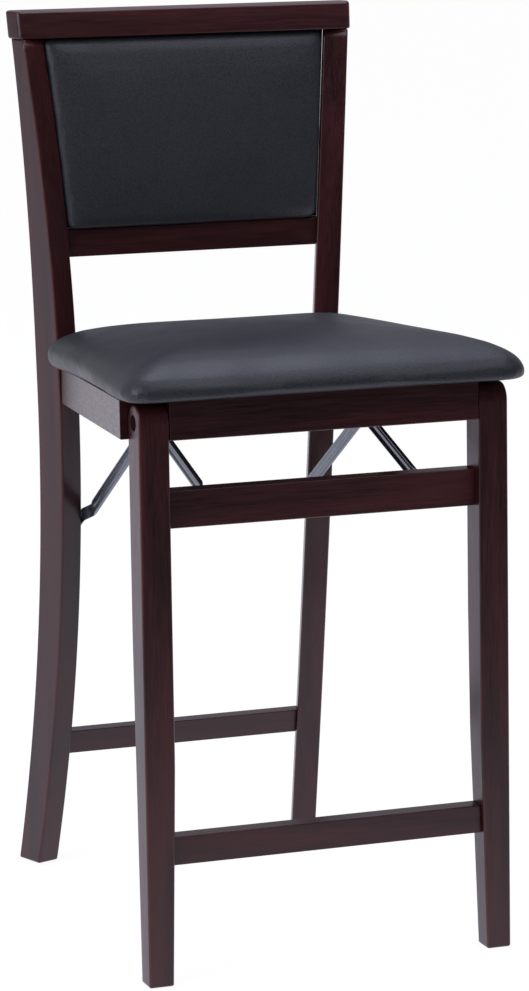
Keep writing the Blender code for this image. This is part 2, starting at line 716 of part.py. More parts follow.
def front_brace(side, sign, steel):
    """Brace from the stretcher up to the crossing."""
    x1 = front_brace_x()
    x0 = x1 - BRACE_WEB
    length = (BRACE_CROSSING - STRETCHER_PIVOT).length
    bar = finish("front_brace_" + side,
                 strap(sign, STRETCHER_PIVOT, BRACE_CROSSING, BRACE_HALF_WIDE, [(0.0, x0, x1), (length, x0, x1)]),
                 steel, side_view(STRETCHER_PIVOT, 0.0))
    add_lips(bar, sign, STRETCHER_PIVOT, BRACE_CROSSING, x0 + BRACE_WEB / 2, x0 - BRACE_LIP, BRACE_LIP_START,
             length - BRACE_LIP_START)
    drill(bar, sign, STRETCHER_PIVOT, x0 - 0.01, x1 + 0.01)
    drill(bar, sign, BRACE_CROSSING, x0 - 0.01, x1 + 0.01)
    return bar


def rear_rivet(side, sign, steel):
    """The crossing rivet's outer half, held in the rear brace."""
    outer = REAR_BRACE_X + BRACE_WEB + GAP
    steps = [(sign * REAR_BRACE_X, PIN_RADIUS), (sign * outer, PIN_RADIUS), (sign * outer, PIN_HEAD_RADIUS),
             (sign * (outer + PIN_HEAD_HIGH), PIN_HEAD_RADIUS * 0.7)]
    return finish("rear_rivet_" + side, stepped_bar_x(steps, side_view(BRACE_CROSSING, 0.0)), steel,
                  side_view(BACK_PIVOT, 0.0), merge=False)


def front_rivet(side, sign, steel):
    """The crossing rivet's inner half, held in the front brace."""
    inner = front_brace_x() - BRACE_WEB - GAP
    steps = [(sign * front_brace_x(), PIN_RADIUS), (sign * inner, PIN_RADIUS), (sign * inner, PIN_HEAD_RADIUS),
             (sign * (inner - PIN_HEAD_HIGH), PIN_HEAD_RADIUS * 0.7)]
    return finish("front_rivet_" + side, stepped_bar_x(steps, side_view(BRACE_CROSSING, 0.0)), steel,
                  side_view(STRETCHER_PIVOT, 0.0), merge=False)


def pin(name, sign, pivot, low, high, steel):
    """A pin with a head at each end, across the layers between two half widths."""
    steps = [(sign * (low - GAP - PIN_HEAD_HIGH), PIN_HEAD_RADIUS * 0.7), (sign * (low - GAP), PIN_HEAD_RADIUS),
             (sign * (low - GAP), PIN_RADIUS), (sign * (high + GAP), PIN_RADIUS),
             (sign * (high + GAP), PIN_HEAD_RADIUS), (sign * (high + GAP + PIN_HEAD_HIGH), PIN_HEAD_RADIUS * 0.7)]
    return finish(name, stepped_bar_x(steps, side_view(pivot, 0.0)), steel, side_view(pivot, 0.0), merge=False)


def lug(name, sign, pivot, plate_face, face_sign, tab_low, plate_low, steel):
    """A plate on a rail face with a tab that stands out to a pivot.

    plate_face gives the rail face at a height; face_sign is 1 when the tab stands out backwards.
    The plate lies on the tab's own side only, so the bar beside the tab can turn past it.
    """
    height = PIVOT_HEIGHT + pivot.y
    pivot_y = PIVOT_Y + pivot.x
    plate_end = plate_low + PLATE_WIDE
    rings = []
    for z in (height - PLATE_HIGH / 2, height + PLATE_HIGH / 2):
        near = plate_face(z) + face_sign * GAP
        far = near + face_sign * PLATE_THICK
        rings.append([world(sign * plate_low, near, z), world(sign * plate_end, near, z),
                      world(sign * plate_end, far, z), world(sign * plate_low, far, z)])
    body = finish(name, ring_solid(rings), steel, side_view(pivot, 0.0))
    root = plate_face(height) + face_sign * (GAP + PLATE_THICK / 2)
    tip = pivot_y + face_sign * LUG_HALF_HIGH
    nose = LUG_HALF_HIGH * 0.45
    outline = [Vector((root, height - LUG_HALF_HIGH)), Vector((pivot_y, height - LUG_HALF_HIGH)),
               Vector((tip, height - nose)), Vector((tip, height + nose)),
               Vector((pivot_y, height + LUG_HALF_HIGH)), Vector((root, height + LUG_HALF_HIGH))]
    rings = [[world(sign * x, p.x, p.y) for p in outline] for x in (tab_low, tab_low + LUG_THICK)]
    boolean(body, ring_solid(rings), "UNION")
    drill(body, sign, pivot, tab_low - 0.005, tab_low + LUG_THICK + 0.005)
    return body


def stretcher_lug_x():
    """Inner face of the stretcher lug's tab, just inside the front brace's web."""
    return front_brace_x() - BRACE_WEB - GAP - LUG_THICK


def stretcher_lug(side, sign, steel):
    def face(height):
        return front_face(height) + STRETCHER_RECESS + STRETCHER_THICK

    low = stretcher_lug_x()
    return lug("stretcher_lug_" + side, sign, STRETCHER_PIVOT, face, 1, low, low + LUG_THICK - PLATE_WIDE, steel)


def link_lug_x():
    return LINK_X + LINK_THICK + GAP


def link_lug(side, sign, steel):
    low = link_lug_x()
    return lug("link_lug_" + side, sign, LINK_BACK_PIVOT, behind_brace, -1, low, low, steel)


def seat_link(side, sign, steel):
    """Flat bar from the seat's bracket to the cross rail's lug."""
    x0, x1 = LINK_X, LINK_X + LINK_THICK
    length = (LINK_BACK_PIVOT - LINK_SEAT_PIVOT).length
    bar = finish("seat_link_" + side,
                 strap(sign, LINK_SEAT_PIVOT, LINK_BACK_PIVOT, LINK_HALF_WIDE, [(0.0, x0, x1), (length, x0, x1)]),
                 steel, side_view(LINK_SEAT_PIVOT, 0.0))
    drill(bar, sign, LINK_SEAT_PIVOT, x0 - 0.01, x1 + 0.01)
    drill(bar, sign, LINK_BACK_PIVOT, x0 - 0.01, x1 + 0.01)
    return bar


def pivot_in_seat(point):
    """A side-view point in the seat's own directions."""
    return Vector((point.x * SEAT_COS - point.y * SEAT_SIN, point.x * SEAT_SIN + point.y * SEAT_COS))


def link_bracket(side, sign, steel):
    """Bent plate under the seat board that carries the seat link."""
    inner = link_lug_x()
    outer = inner + LUG_THICK
    foot = outer + LINK_FOOT_WIDE
    at = pivot_in_seat(LINK_SEAT_PIVOT)
    section = [(inner, at.y - LINK_TAB_DROP), (outer, at.y - LINK_TAB_DROP), (outer, FRAME_TOP - PLATE_THICK),
               (foot, FRAME_TOP - PLATE_THICK), (foot, FRAME_TOP), (inner, FRAME_TOP)]
    rings = [[seat(sign * x, at.x + shift, up) for x, up in section] for shift in (-LINK_TAB_HALF, LINK_TAB_HALF)]
    bracket = finish("link_bracket_" + side, ring_solid(rings), steel, seat(0.0, 0.0, 0.0))
    drill(bracket, sign, LINK_SEAT_PIVOT, inner - 0.005, outer + 0.005)
    return bracket


def brace_screw(side, sign, steel):
    """Shoulder screw that holds the rear brace's flat end to the back leg."""
    face = leg_face_at_back_pivot()
    inner = tab_outer_x() - BRACE_WEB - GAP
    outer = tab_outer_x() + GAP
    sunk = face + SLEEVE_SINK
    steps = [(sign * (inner - PIN_HEAD_HIGH), PIN_HEAD_RADIUS * 0.7), (sign * inner, PIN_HEAD_RADIUS),
             (sign * inner, PIN_RADIUS), (sign * outer, PIN_RADIUS), (sign * outer, SLEEVE_RADIUS),
             (sign * sunk, SLEEVE_RADIUS), (sign * sunk, PIN_RADIUS), (sign * (face + SCREW_BITE), PIN_RADIUS)]
    return finish("brace_screw_" + side, stepped_bar_x(steps, side_view(BACK_PIVOT, 0.0)), steel,
                  side_view(BACK_PIVOT, 0.0), merge=False)


def leg_face_at_back_pivot():
    """Half width of the back leg's inner face on the brace pivot's axis."""
    return back_inner_x(PIVOT_Y + BACK_PIVOT.x, PIVOT_HEIGHT + BACK_PIVOT.y)


def bore_back_leg(leg, sign):
    """Sink for the screw's shoulder, and the hole behind it."""
    face = leg_face_at_back_pivot()
    drill(leg, sign, BACK_PIVOT, face - 0.012, face + SLEEVE_SINK + GAP, SLEEVE_RADIUS + GAP)
    drill(leg, sign, BACK_PIVOT, face, face + SCREW_BITE + 0.001)


def dowel_joint(name, sign, centre, joint_x, leg, rail, beech, origin):
    """A dowel across a joint face, with a hole for it in the leg and in the rail."""
    boolean(leg, cylinder_x(sign * (joint_x - 0.002), sign * (joint_x + DOWEL_INTO_LEG + DOWEL_SPACE), centre,
                            DOWEL_RADIUS + GAP, 12))
    boolean(rail, cylinder_x(sign * (joint_x - DOWEL_INTO_RAIL - DOWEL_SPACE), sign * (joint_x + 0.006), centre,
                             DOWEL_RADIUS + GAP, 12))
    bm = cylinder_x(sign * (joint_x - DOWEL_INTO_RAIL), sign * (joint_x + DOWEL_INTO_LEG), centre, DOWEL_RADIUS, 12)
    return finish(name, bm, beech, origin)


def build():
    remove_all()
    wood = material("espresso_stained_beech", (0.022, 0.010, 0.011), 0.34)
    vinyl = material("charcoal_grained_vinyl", (0.040, 0.044, 0.052), 0.42)
    steel = material("gunmetal_coated_steel", (0.055, 0.057, 0.062), 0.38, 0.85)
    board = material("birch_plywood", (0.42, 0.30, 0.18), 0.7)
    beech = material("beech_dowel", (0.50, 0.34, 0.20), 0.7)

    pivot = world(0.0, PIVOT_Y, PIVOT_HEIGHT)
    back_origin = side_view(BACK_PIVOT, 0.0)

    front_legs = {}
    back_legs = {}
    for side, sign in SIDES:
        front_legs[side] = front_leg(side, sign, wood)
        back_legs[side] = back_leg(side, sign, wood)
        bore_back_leg(back_legs[side], sign)
        pivot_bolt(side, sign, steel)
        side_rail(side, sign, wood, pivot)
        pivot_block(side, sign, wood, pivot)
        rear_brace(side, sign, steel)
        front_brace(side, sign, steel)
        rear_rivet(side, sign, steel)
        front_rivet(side, sign, steel)
        stretcher_lug(side, sign, steel)
        pin("stretcher_pin_" + side, sign, STRETCHER_PIVOT, stretcher_lug_x(), front_brace_x(), steel)
        seat_link(side, sign, steel)
        link_bracket(side, sign, steel)
        pin("link_seat_pin_" + side, sign, LINK_SEAT_PIVOT, LINK_X, link_lug_x() + LUG_THICK, steel)
        link_lug(side, sign, steel)
        pin("link_back_pin_" + side, sign, LINK_BACK_PIVOT, LINK_X, link_lug_x() + LUG_THICK, steel)
        brace_screw(side, sign, steel)

    stretcher = front_rail("upper_stretcher", STRETCHER_LOW, STRETCHER_HIGH, STRETCHER_RECESS, STRETCHER_THICK, wood)
    footrest = front_rail("footrest_rail", FOOTREST_LOW, FOOTREST_HIGH, FOOTREST_RECESS, FOOTREST_THICK, wood)
    front_apron(wood, pivot)
    seat_batten(wood, pivot)
    seat_cushion(vinyl, pivot)
    seat_prism("seat_board", cushion_outline(BOARD_INSET), FRAME_TOP + GAP, FRAME_TOP + GAP + BOARD_THICK,
               board, pivot)

    crest_rail(wood)
    back_rail = back_board("lower_back_rail", behind_leg_front, BACK_RAIL_THICK, BACK_RAIL_LOW, BACK_RAIL_HIGH, wood)
    rear_stretcher = back_board("rear_stretcher", behind_leg_front, REAR_STRETCHER_THICK, REAR_STRETCHER_LOW,
                                REAR_STRETCHER_HIGH, wood)
    cross_rail = back_board("rear_cross_rail", behind_brace, CROSS_RAIL_THICK, CROSS_RAIL_LOW, CROSS_RAIL_HIGH,
                            wood)
    back_pad(vinyl)
    back_pad_board(board)

    for side, sign in SIDES:
        for name, rail, low, high, recess, thick in (
                ("stretcher_dowel_", stretcher, STRETCHER_LOW, STRETCHER_HIGH, STRETCHER_RECESS, STRETCHER_THICK),
                ("footrest_dowel_", footrest, FOOTREST_LOW, FOOTREST_HIGH, FOOTREST_RECESS, FOOTREST_THICK)):
            height = low + high / 2
            centre = world(0.0, front_face(height) + recess + thick / 2, height)
            dowel_joint(name + side, sign, centre, inner_width_at_front(height), front_legs[side], rail, beech,
                        world(0.0, 0.0, 0.0))
        for name, rail, low, high, thick, plane in (
                ("back_rail_dowel_", back_rail, BACK_RAIL_LOW, BACK_RAIL_HIGH, BACK_RAIL_THICK, behind_leg_front),
                ("rear_stretcher_dowel_", rear_stretcher, REAR_STRETCHER_LOW, REAR_STRETCHER_HIGH,
                 REAR_STRETCHER_THICK, behind_leg_front),
                ("cross_rail_dowel_", cross_rail, CROSS_RAIL_LOW, CROSS_RAIL_HIGH, CROSS_RAIL_THICK, behind_brace)):
            height = low + high / 2
            y = plane(height) + thick / 2
            dowel_joint(name + side, sign, world(0.0, y, height), back_inner_x(y, height), back_legs[side], rail,
                        beech, back_origin)


build()
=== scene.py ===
"""Folding counter stool: the looks of its wood, pads and steel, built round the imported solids.

Laid out as an add-on and run as a script. Lengths are metres; +X is the stool's right side seen
from the front, +Y its back, +Z up.
"""

import math

import bmesh
import bpy
import numpy as np
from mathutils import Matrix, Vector


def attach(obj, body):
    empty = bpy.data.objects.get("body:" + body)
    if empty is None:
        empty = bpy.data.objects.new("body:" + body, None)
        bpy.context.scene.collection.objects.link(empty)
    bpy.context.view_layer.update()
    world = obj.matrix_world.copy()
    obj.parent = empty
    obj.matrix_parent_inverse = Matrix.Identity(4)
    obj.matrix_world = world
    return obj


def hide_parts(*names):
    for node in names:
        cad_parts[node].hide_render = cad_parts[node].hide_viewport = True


bl_info = {
    "name": "Folding counter stool",
    "version": (1, 0, 0),
    "blender": (4, 5, 0),
    "location": "3D View > Sidebar > Stool",
    "description": "Dresses the folding counter stool: stained beech, padded vinyl and coated steel",
    "category": "Object",
}

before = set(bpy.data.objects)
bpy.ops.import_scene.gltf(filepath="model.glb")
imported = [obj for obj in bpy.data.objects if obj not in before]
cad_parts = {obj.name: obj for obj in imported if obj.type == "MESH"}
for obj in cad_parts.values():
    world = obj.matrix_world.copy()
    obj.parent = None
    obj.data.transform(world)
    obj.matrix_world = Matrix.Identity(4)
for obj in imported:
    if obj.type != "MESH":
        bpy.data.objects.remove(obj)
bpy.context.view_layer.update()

# Shapes shared with the solids
GAP = 0.0003
CENTRE_Y = 0.2516518
HEIGHT = 0.940

FRONT_LEAN = 0.042
FRONT_HALF_WIDTH = 0.1977
FRONT_LEG_WIDE = 0.0318
FRONT_LEG_DEEP = 0.0332
FRONT_FOOT_WIDE = 0.0262
FRONT_FOOT_DEEP = 0.0245
INNER_TAPER_TOP = 0.225
REAR_TAPER_TOP = 0.350
FOOT_ROUND = 0.0022
PIVOT_HEIGHT = 0.5679
PIVOT_Y = FRONT_LEAN * PIVOT_HEIGHT + FRONT_LEG_DEEP / 2
LEG_CROWN = 0.0182
SINK_RADIUS = 0.0082
SINK_DEPTH = 0.0085
BORE_RADIUS = 0.0041
CUTTER_PAST = 0.01

BELLY_HEIGHT = 0.550
BELLY_Y = 0.3893
BELLY_HALF_X = 0.1588
BACK_TOE = 0.3585
BACK_SPREAD = 0.0379
BACK_LEG_THICK = 0.0267
BACK_LEG_DEEP = 0.0402
FOOT_SWEEP = 0.0725
FOOT_SLIMMER = 0.0047
POST_SWEEP = 0.0330
POST_SLIMMER = 0.0190
TOE_LENGTH = math.hypot(1.0, BACK_TOE)
TOE_ACROSS = 1.0 / TOE_LENGTH
TOE_ALONG = BACK_TOE / TOE_LENGTH
CREST_HIGH = 0.0285
CREST_DEEP = 0.0300
CREST_PAST_FRONT = 0.0005
CREST_PAST_SIDE = 0.0027
CREST_REAR_CHAMFER = 0.006
POST_TOP = HEIGHT - CREST_HIGH - GAP

# Rails as (piece, node, set back from the legs' front, thickness, low edge, height)
FRONT_RAILS = (("footrest", "footrest_rail", 0.0066, 0.020, 0.1217, 0.0289),
               ("stretcher_front", "upper_stretcher", 0.0120, 0.020, 0.4610, 0.0377))
BACK_RAILS = (("rail_back_lower", "lower_back_rail", 0.0050, 0.0190, 0.6808, 0.0289),
              ("stretcher_rear", "rear_stretcher", 0.0050, 0.0190, 0.1267, 0.0263),
              ("rail_cross", "rear_cross_rail", 0.0165, 0.0180, 0.5130, 0.0480))

SEAT_SLOPE = 0.0647
SEAT_COS = 1.0 / math.hypot(1.0, SEAT_SLOPE)
SEAT_SIN = SEAT_SLOPE * SEAT_COS
FRAME_LOW = -0.0180
FRAME_TOP = 0.0216
FRAME_HALF_WIDTH = 0.2050
FRAME_NARROWS = 0.0480
RAIL_START = 0.0190
RAIL_SHORT = 0.0020
RAIL_THICK = 0.0200
APRON_THICK = 0.010
# Rounds at the ends of rails that butt on a leg, and of the side rails
BUTT_EDGE = 0.0006
RAIL_END_EDGE = 0.0008

CUSHION_HALF_FRONT = 0.2185
CUSHION_HALF_REAR = 0.1830
CUSHION_LONG = 0.3850
CUSHION_FRONT = -FRONT_LEG_DEEP / 2 - 0.0270
CUSHION_HIGH = 0.0560
CUSHION_ROUND_FRONT = 0.0300
CUSHION_ROUND_REAR = 0.0330
CUSHION_ROUND_LEAST = 0.014
CUSHION_SIDE_PULL = 0.014
CUSHION_END_PULL = 0.0030

PAD_LOW = BACK_RAILS[0][4] + BACK_RAILS[0][5] + 0.0004
PAD_HIGH = HEIGHT - CREST_HIGH - 0.0006
PAD_SIDE_GAP = 0.0004
PAD_BACK = 0.0170
PAD_RIM = 0.0130
PAD_FULL = 0.0222
PAD_ROLL = 0.0160
PAD_DEEP = 0.0235
PAD_CROWN_RUN = 0.060
PAD_ROUND = 0.0055
PAD_ROUND_LEAST = 0.004
# Depth of the layer that the simulation holds, and the run over which points come free
CUSHION_HELD = 0.002
CUSHION_FREE_RUN = 0.018
PAD_HELD = 0.004
PAD_FREE_RUN = 0.007

BRACE_X = 0.1180
BRACE_WEB = 0.0020
BRACE_THICK = 0.0014
BRACE_LIP = 0.0025
BRACE_RIB = 0.0013
BRACE_HALF_WIDE = 0.0071
BRACE_RIB_HALF = 0.0018
BRACE_RIB_FOOT = 0.0038
BRACE_OUTER_BEND = 0.0018
BRACE_BEND = 0.00045
BRACE_PLAY = 0.0005
BRACE_FOOT_PLAY = 0.0008
# Lips and rib start this far from a brace's end and rise over this run
LIP_START = 0.006
LIP_RUN = 0.010
# A rear brace's foot is set out from this far before its end, over this run; its lips stop this
# far before the end
SET_OUT_FROM = 0.028
SET_OUT_RUN = 0.016
SET_OUT_LIP = 0.024
# Fold pivots in the side view, from the seat's pivot: (back, up)
CROSSING = (0.1705, -0.0354)
BACK_PIVOT = (0.3760, -0.1740)
STRETCHER_PIVOT = (0.0209, -0.0810)

SIDES = (("left", -1.0), ("right", 1.0))

# A plank's figure starts this far from the last plank's, so no two pieces share it
PLANK_STEP = np.array([0.371, 0.593, 0.817])

SWELL_FRAMES = 20

SHEET_WHITE = "#f3f2ff"
STOOL_MIDDLE = (0.0, 0.0, 0.5)


# Colours

def linear(hex_colour):
    """A colour written as sRGB hex, turned to the linear values that shaders take."""
    values = np.array([int(hex_colour[i:i + 2], 16) for i in (1, 3, 5)]) / 255.0
    values = np.where(values <= 0.04045, values / 12.92, ((values + 0.055) / 1.055) ** 2.4)
    return (*values.tolist(), 1.0)


def dimmed(colour, share):
    """A linear colour at a share of its strength."""
    return tuple(c * share for c in tuple(colour)[:3]) + (1.0,)


# Sizes and colours that a user would change

def length_setting(name, description, default, low, high):
    """A length in metres that a user may change between low and high."""
    return bpy.props.FloatProperty(
        name=name, description=description, default=default, min=low, max=high, unit="LENGTH")


def colour_setting(name, description, hex_colour):
    """A colour that a user may change."""
    return bpy.props.FloatVectorProperty(
        name=name, description=description, default=linear(hex_colour),
        size=4, min=0.0, max=1.0, subtype="COLOR")


class StoolSizes(bpy.types.PropertyGroup):
    """Sizes of the looks: rounded edges, the pads' swell, and the patterns' real scales."""

    leg_edge: length_setting("Leg edge", "Radius of the legs' sanded edges", 0.0022, 0.0005, 0.004)
    rail_edge: length_setting("Rail edge", "Radius of the rails' sanded edges", 0.0012, 0.0004, 0.003)
    crest_edge: length_setting("Crest edge", "Radius of the crest rail's edges", 0.0022, 0.0005, 0.004)
    cushion_swell: length_setting(
        "Cushion swell", "The most that a point of the seat cushion may move outwards", 0.0030, 0.0, 0.016)
    pad_swell: length_setting(
        "Pad swell", "The most that a point of the back pad may move forwards", 0.0022, 0.0, 0.010)
    cushion_voxel: length_setting(
        "Cushion voxel", "Mesh spacing of the cushion for the cloth simulation", 0.0050, 0.004, 0.008)
    pad_voxel: length_setting(
        "Pad voxel", "Mesh spacing of the back pad for the cloth simulation", 0.0040, 0.003, 0.006)
    fibre_width: length_setting(
        "Fibre width", "Width of the beech's fibre streaks across the grain", 0.0016, 0.0005, 0.005)
    fleck_length: length_setting(
        "Fleck length", "Length of the beech's ray flecks along the grain", 0.0045, 0.001, 0.01)
    pebble: length_setting("Pebble", "Spacing of the vinyl's pebble grain", 0.0018, 0.0008, 0.004)


class StoolFinishes(bpy.types.PropertyGroup):
    """Colours of the stool's finishes, and the painted shade between the vinyl's pebbles."""

    stain_dark: colour_setting("Stain, dark", "Espresso stain where the beech is dense", "#20080b")
    stain_light: colour_setting("Stain, light", "Espresso stain where the beech is open", "#43191b")
    stain_worn: colour_setting(
        "Stain, worn", "Red-brown wood that shows where an edge is sanded thin", "#5a2a24")
    vinyl_body: colour_setting("Vinyl", "Charcoal of the vinyl cover", "#323237")
    # Painted shade: the darker charcoal stands in for the shade that falls between the vinyl's pebbles
    vinyl_valley_shade: colour_setting("Vinyl, between pebbles", "Darker charcoal between the pebbles", "#24252a")
    gunmetal: colour_setting("Gunmetal", "Coat of the braces, links and lugs", "#747982")
    zinc: colour_setting("Zinc", "Plated heads of the bolts, pins and rivets", "#8d9096")
    plywood: colour_setting("Plywood", "Espresso stain on the boards behind the pads", "#3a2522")
    floor: colour_setting("Floor", "Plain pale studio floor", "#f2f2f1")


# Curves of the frame, as arrays over height

def front_face(z):
    """Front of the front legs: a straight line that leans back."""
    return FRONT_LEAN * z


def front_leg_depth(z):
    """Depth of a front leg: full above the taper's top, and a straight taper to the foot."""
    share = np.clip((REAR_TAPER_TOP - z) / REAR_TAPER_TOP, 0.0, None)
    return FRONT_LEG_DEEP + (FRONT_FOOT_DEEP - FRONT_LEG_DEEP) * share


def front_inner_x(z):
    """Half width between the front legs, a little wider at the feet."""
    share = np.clip((INNER_TAPER_TOP - z) / INNER_TAPER_TOP, 0.0, None)
    return FRONT_HALF_WIDTH - FRONT_LEG_WIDE - (FRONT_FOOT_WIDE - FRONT_LEG_WIDE) * share


def sweep_shares(z):
    """How far a height is below and above the belly of the sabre leg, each from 0 to 1."""
    below = np.clip((BELLY_HEIGHT - z) / BELLY_HEIGHT, 0.0, None)
    above = np.clip((z - BELLY_HEIGHT) / (POST_TOP - BELLY_HEIGHT), 0.0, None)
    return below, above


def back_front_edge(z):
    """Outer front edge of a back leg: one parabola down to the foot, another up to the crest."""
    below, above = sweep_shares(z)
    return BELLY_Y + FOOT_SWEEP * below ** 2 + POST_SWEEP * above ** 2


def back_depth(z):
    """Depth of a back leg along its board: fullest at the seat, slim at the top."""
    below, above = sweep_shares(z)
    return BACK_LEG_DEEP - FOOT_SLIMMER * below ** 2 - POST_SLIMMER * above ** 1.6


def back_outer_x(y, z):
    """Outer face of a back leg: a plane that is turned out and spreads upwards."""
    return BELLY_HALF_X + BACK_SPREAD * (z - BELLY_HEIGHT) + BACK_TOE * (y - BELLY_Y)


def back_inner_x(y, z):
    """Inner face of a back leg: the outer plane moved in by the board's thickness."""
    return back_outer_x(y, z) - BACK_LEG_THICK * TOE_LENGTH


def back_inner_front_y(z):
    """Where the turned board's inner face starts, a little behind its outer front edge."""
    return back_front_edge(z) + BACK_LEG_THICK * TOE_ALONG


def back_opening(z):
    """Half width between the back posts, measured at their inner front edges."""
    return float(back_inner_x(back_inner_front_y(z), z))


# The side rails end a little before the back legs
SEAT_RAIL_END = (float(back_front_edge(PIVOT_HEIGHT)) - PIVOT_Y) / SEAT_COS - RAIL_SHORT


def seat_half_width(along):
    """Outer half width of the seat frame, a straight line that narrows to the rear."""
    return FRAME_HALF_WIDTH - FRAME_NARROWS * (along - RAIL_START) / (SEAT_RAIL_END - RAIL_START)


def points(x, y, z):
    """Arrays of x, y and z, y before the footprint is centred, stacked as points."""
    x, y, z = np.broadcast_arrays(x, y, z)
    return np.stack([x, y - CENTRE_Y, z], axis=-1).astype(float)


def seat_points(x, along, up):
    """Points given in the seat's own directions: along it from the pivot, and up from the pivot."""
    return points(x, PIVOT_Y + along * SEAT_COS + up * SEAT_SIN,
                  PIVOT_HEIGHT - along * SEAT_SIN + up * SEAT_COS)


# Surfaces

def unit(vectors):
    """Vectors brought to a length of 1."""
    return vectors / np.maximum(np.linalg.norm(vectors, axis=-1, keepdims=True), 1e-12)


def ease(t):
    """A smooth step, 3 t squared less 2 t cubed, with t held between 0 and 1."""
    t = np.clip(t, 0.0, 1.0)
    return t * t * (3 - 2 * t)


def run_length(line):
    """The length run along a line of points at each of them."""
    return np.concatenate([[0.0], np.cumsum(np.linalg.norm(np.diff(line, axis=0), axis=1))])


def evened(outline, count):
    """A closed flat outline as two arrays of count coordinates, even in length."""
    closed = np.concatenate([outline, outline[:1]])
    run = run_length(closed)
    at = np.linspace(0.0, run[-1], count, endpoint=False)
    return np.interp(at, run, closed[:, 0]), np.interp(at, run, closed[:, 1])


def rounded(corners, radius, steps=4):
    """A polygon with each corner turned into an arc.

    With b and a the directions to the corner before and after, a point of the arc is
    corner + b * radius * (1 - sin t) + a * radius * (1 - cos t), t from 0 to 90 degrees.
    Returns the outline and, for each point, how far it lies in the middle of an arc.
    """
    corners = np.asarray(corners, float)
    radius = np.broadcast_to(np.asarray(radius, float), len(corners))[:, None, None]
    before = unit(np.roll(corners, 1, 0) - corners)[:, None, :]
    after = unit(np.roll(corners, -1, 0) - corners)[:, None, :]
    t = np.linspace(0.0, math.pi / 2, steps)[None, :, None]
    outline = corners[:, None, :] + before * radius * (1 - np.sin(t)) + after * radius * (1 - np.cos(t))
    middle = np.broadcast_to(np.sin(2 * t), outline.shape[:2] + (1,))
    return outline.reshape(-1, corners.shape[1]), middle.reshape(-1)


def inward(outline):
    """For each point of a closed outline in space, the step that moves both its edges inwards by 1.

    An edge's inward direction is the outline's own normal crossed with the edge. A corner's step
    is the sum of its two directions, divided by 1 plus their dot product.
    """
    edges = np.roll(outline, -1, 0) - outline
    normal = unit(np.cross(outline, np.roll(outline, -1, 0)).sum(0))
    sides = unit(np.cross(normal, edges))
    before = np.roll(sides, 1, 0)
    return (sides + before) / (1.0 + (sides * before).sum(-1, keepdims=True))


def board_rows(near, far, edge, steps=4, spans=1):
    """Rows of a board between two matching outlines, with both rims rounded.

    A row lies at edge * (1 - cos a) from its end and edge * (1 - sin a) inside the outline, where
    the rim turns through the angle a from 0 to 90 degrees; between the rims the rows are even.
    Returns the rows and how far each lies in the middle of a rim.
    """
    a = np.linspace(0.0, math.pi / 2, steps)
    deep, inset = (edge * (1 - np.cos(a)))[:, None, None], (edge * (1 - np.sin(a)))[:, None, None]
    run = unit(far - near)[None]
    start = near[None] + run * deep + inward(near)[None] * inset
    end = (far[None] - run * deep + inward(far)[None] * inset)[::-1]
    share = np.linspace(0.0, 1.0, spans + 1)[1:-1][:, None, None]
    middle = start[-1][None] * (1 - share) + end[0][None] * share
    worn = np.concatenate([np.sin(2 * a), np.zeros(spans - 1), np.sin(2 * a)[::-1]])
    return np.concatenate([start, middle, end]), worn


def coordinates(mesh):
    """A mesh's points, as rows of x, y and z."""
    place = np.empty(len(mesh.vertices) * 3)
    mesh.vertices.foreach_get("co", place)
    return place.reshape(-1, 3)


def new_piece(name, verts, faces, smooth=True):
    """A mesh object at the origin from arrays of points and faces, its faces turned outwards."""
    mesh = bpy.data.meshes.new(name)
    mesh.from_pydata(verts.reshape(-1, 3).tolist(), [], faces.tolist())
    shell = bmesh.new()
    shell.from_mesh(mesh)
    bmesh.ops.recalc_face_normals(shell, faces=shell.faces)
    shell.to_mesh(mesh)
    shell.free()
    mesh.polygons.foreach_set("use_smooth", np.full(len(mesh.polygons), smooth))
    piece = bpy.data.objects.new(name, mesh)
    bpy.context.scene.collection.objects.link(piece)
    return piece


def closed_shell(name, rows):
    """A closed shell from rows of points: walls round each pair of rows, and strips across the ends."""
    count, around = rows.shape[:2]
    index = np.arange(count * around).reshape(count, around)
    following = np.roll(index, -1, 1)
    walls = np.stack([index[:-1], following[:-1], following[1:], index[1:]], -1).reshape(-1, 4)
    i = np.arange(around // 2 - 1)
    strip = np.stack([i, i + 1, around - 2 - i, around - 1 - i], -1)
    caps = np.concatenate([strip, strip[:, ::-1] + (count - 1) * around])
    return new_piece(name, rows, np.concatenate([walls, caps]))


def evaluated_mesh(piece):
    """What a piece's modifiers make of its mesh, as a new mesh."""
    bpy.context.view_layer.update()
    return bpy.data.meshes.new_from_object(piece.evaluated_get(bpy.context.evaluated_depsgraph_get()))


def flat_faces(piece):
    """Shade a piece's large faces flat and only its rounded edges smooth."""
    weighted = piece.modifiers.new("flat faces", "WEIGHTED_NORMAL")
    weighted.keep_sharp = True
    return weighted


def lay_grain(piece, along, worn, number):
    """Store where each point lies in its own plank, with the grain along the third coordinate.

    The stored point is the place in the stool with its axes turned in order, plus a step that
    differs from plank to plank. The second attribute says how much the finish is sanded thin.
    """
    mesh = piece.data
    place = np.roll(coordinates(mesh), {"z": 0, "x": 2, "y": 1}[along], axis=1) + PLANK_STEP * number
    mesh.attributes.new("plank", "FLOAT_VECTOR", "POINT").data.foreach_set("vector", place.ravel())
    mesh.attributes.new("worn", "FLOAT", "POINT").data.foreach_set("value", np.ravel(worn))


def wooden_board(name, near, far, edge, along, number, corner_wear, spans=1):
    """A rounded board between two outlines, in stained beech, with flat faces shaded flat."""
    rows, rim = board_rows(near, far, edge, spans=spans)
    piece = closed_shell(name, rows)
    worn = np.maximum(rim[:, None], np.broadcast_to(corner_wear, (len(rim), len(near))))
    lay_grain(piece, along, worn, number)
    flat_faces(piece).weight = 90
    piece.data.materials.append(node_material("espresso_stained_beech", stained_beech))
    return piece


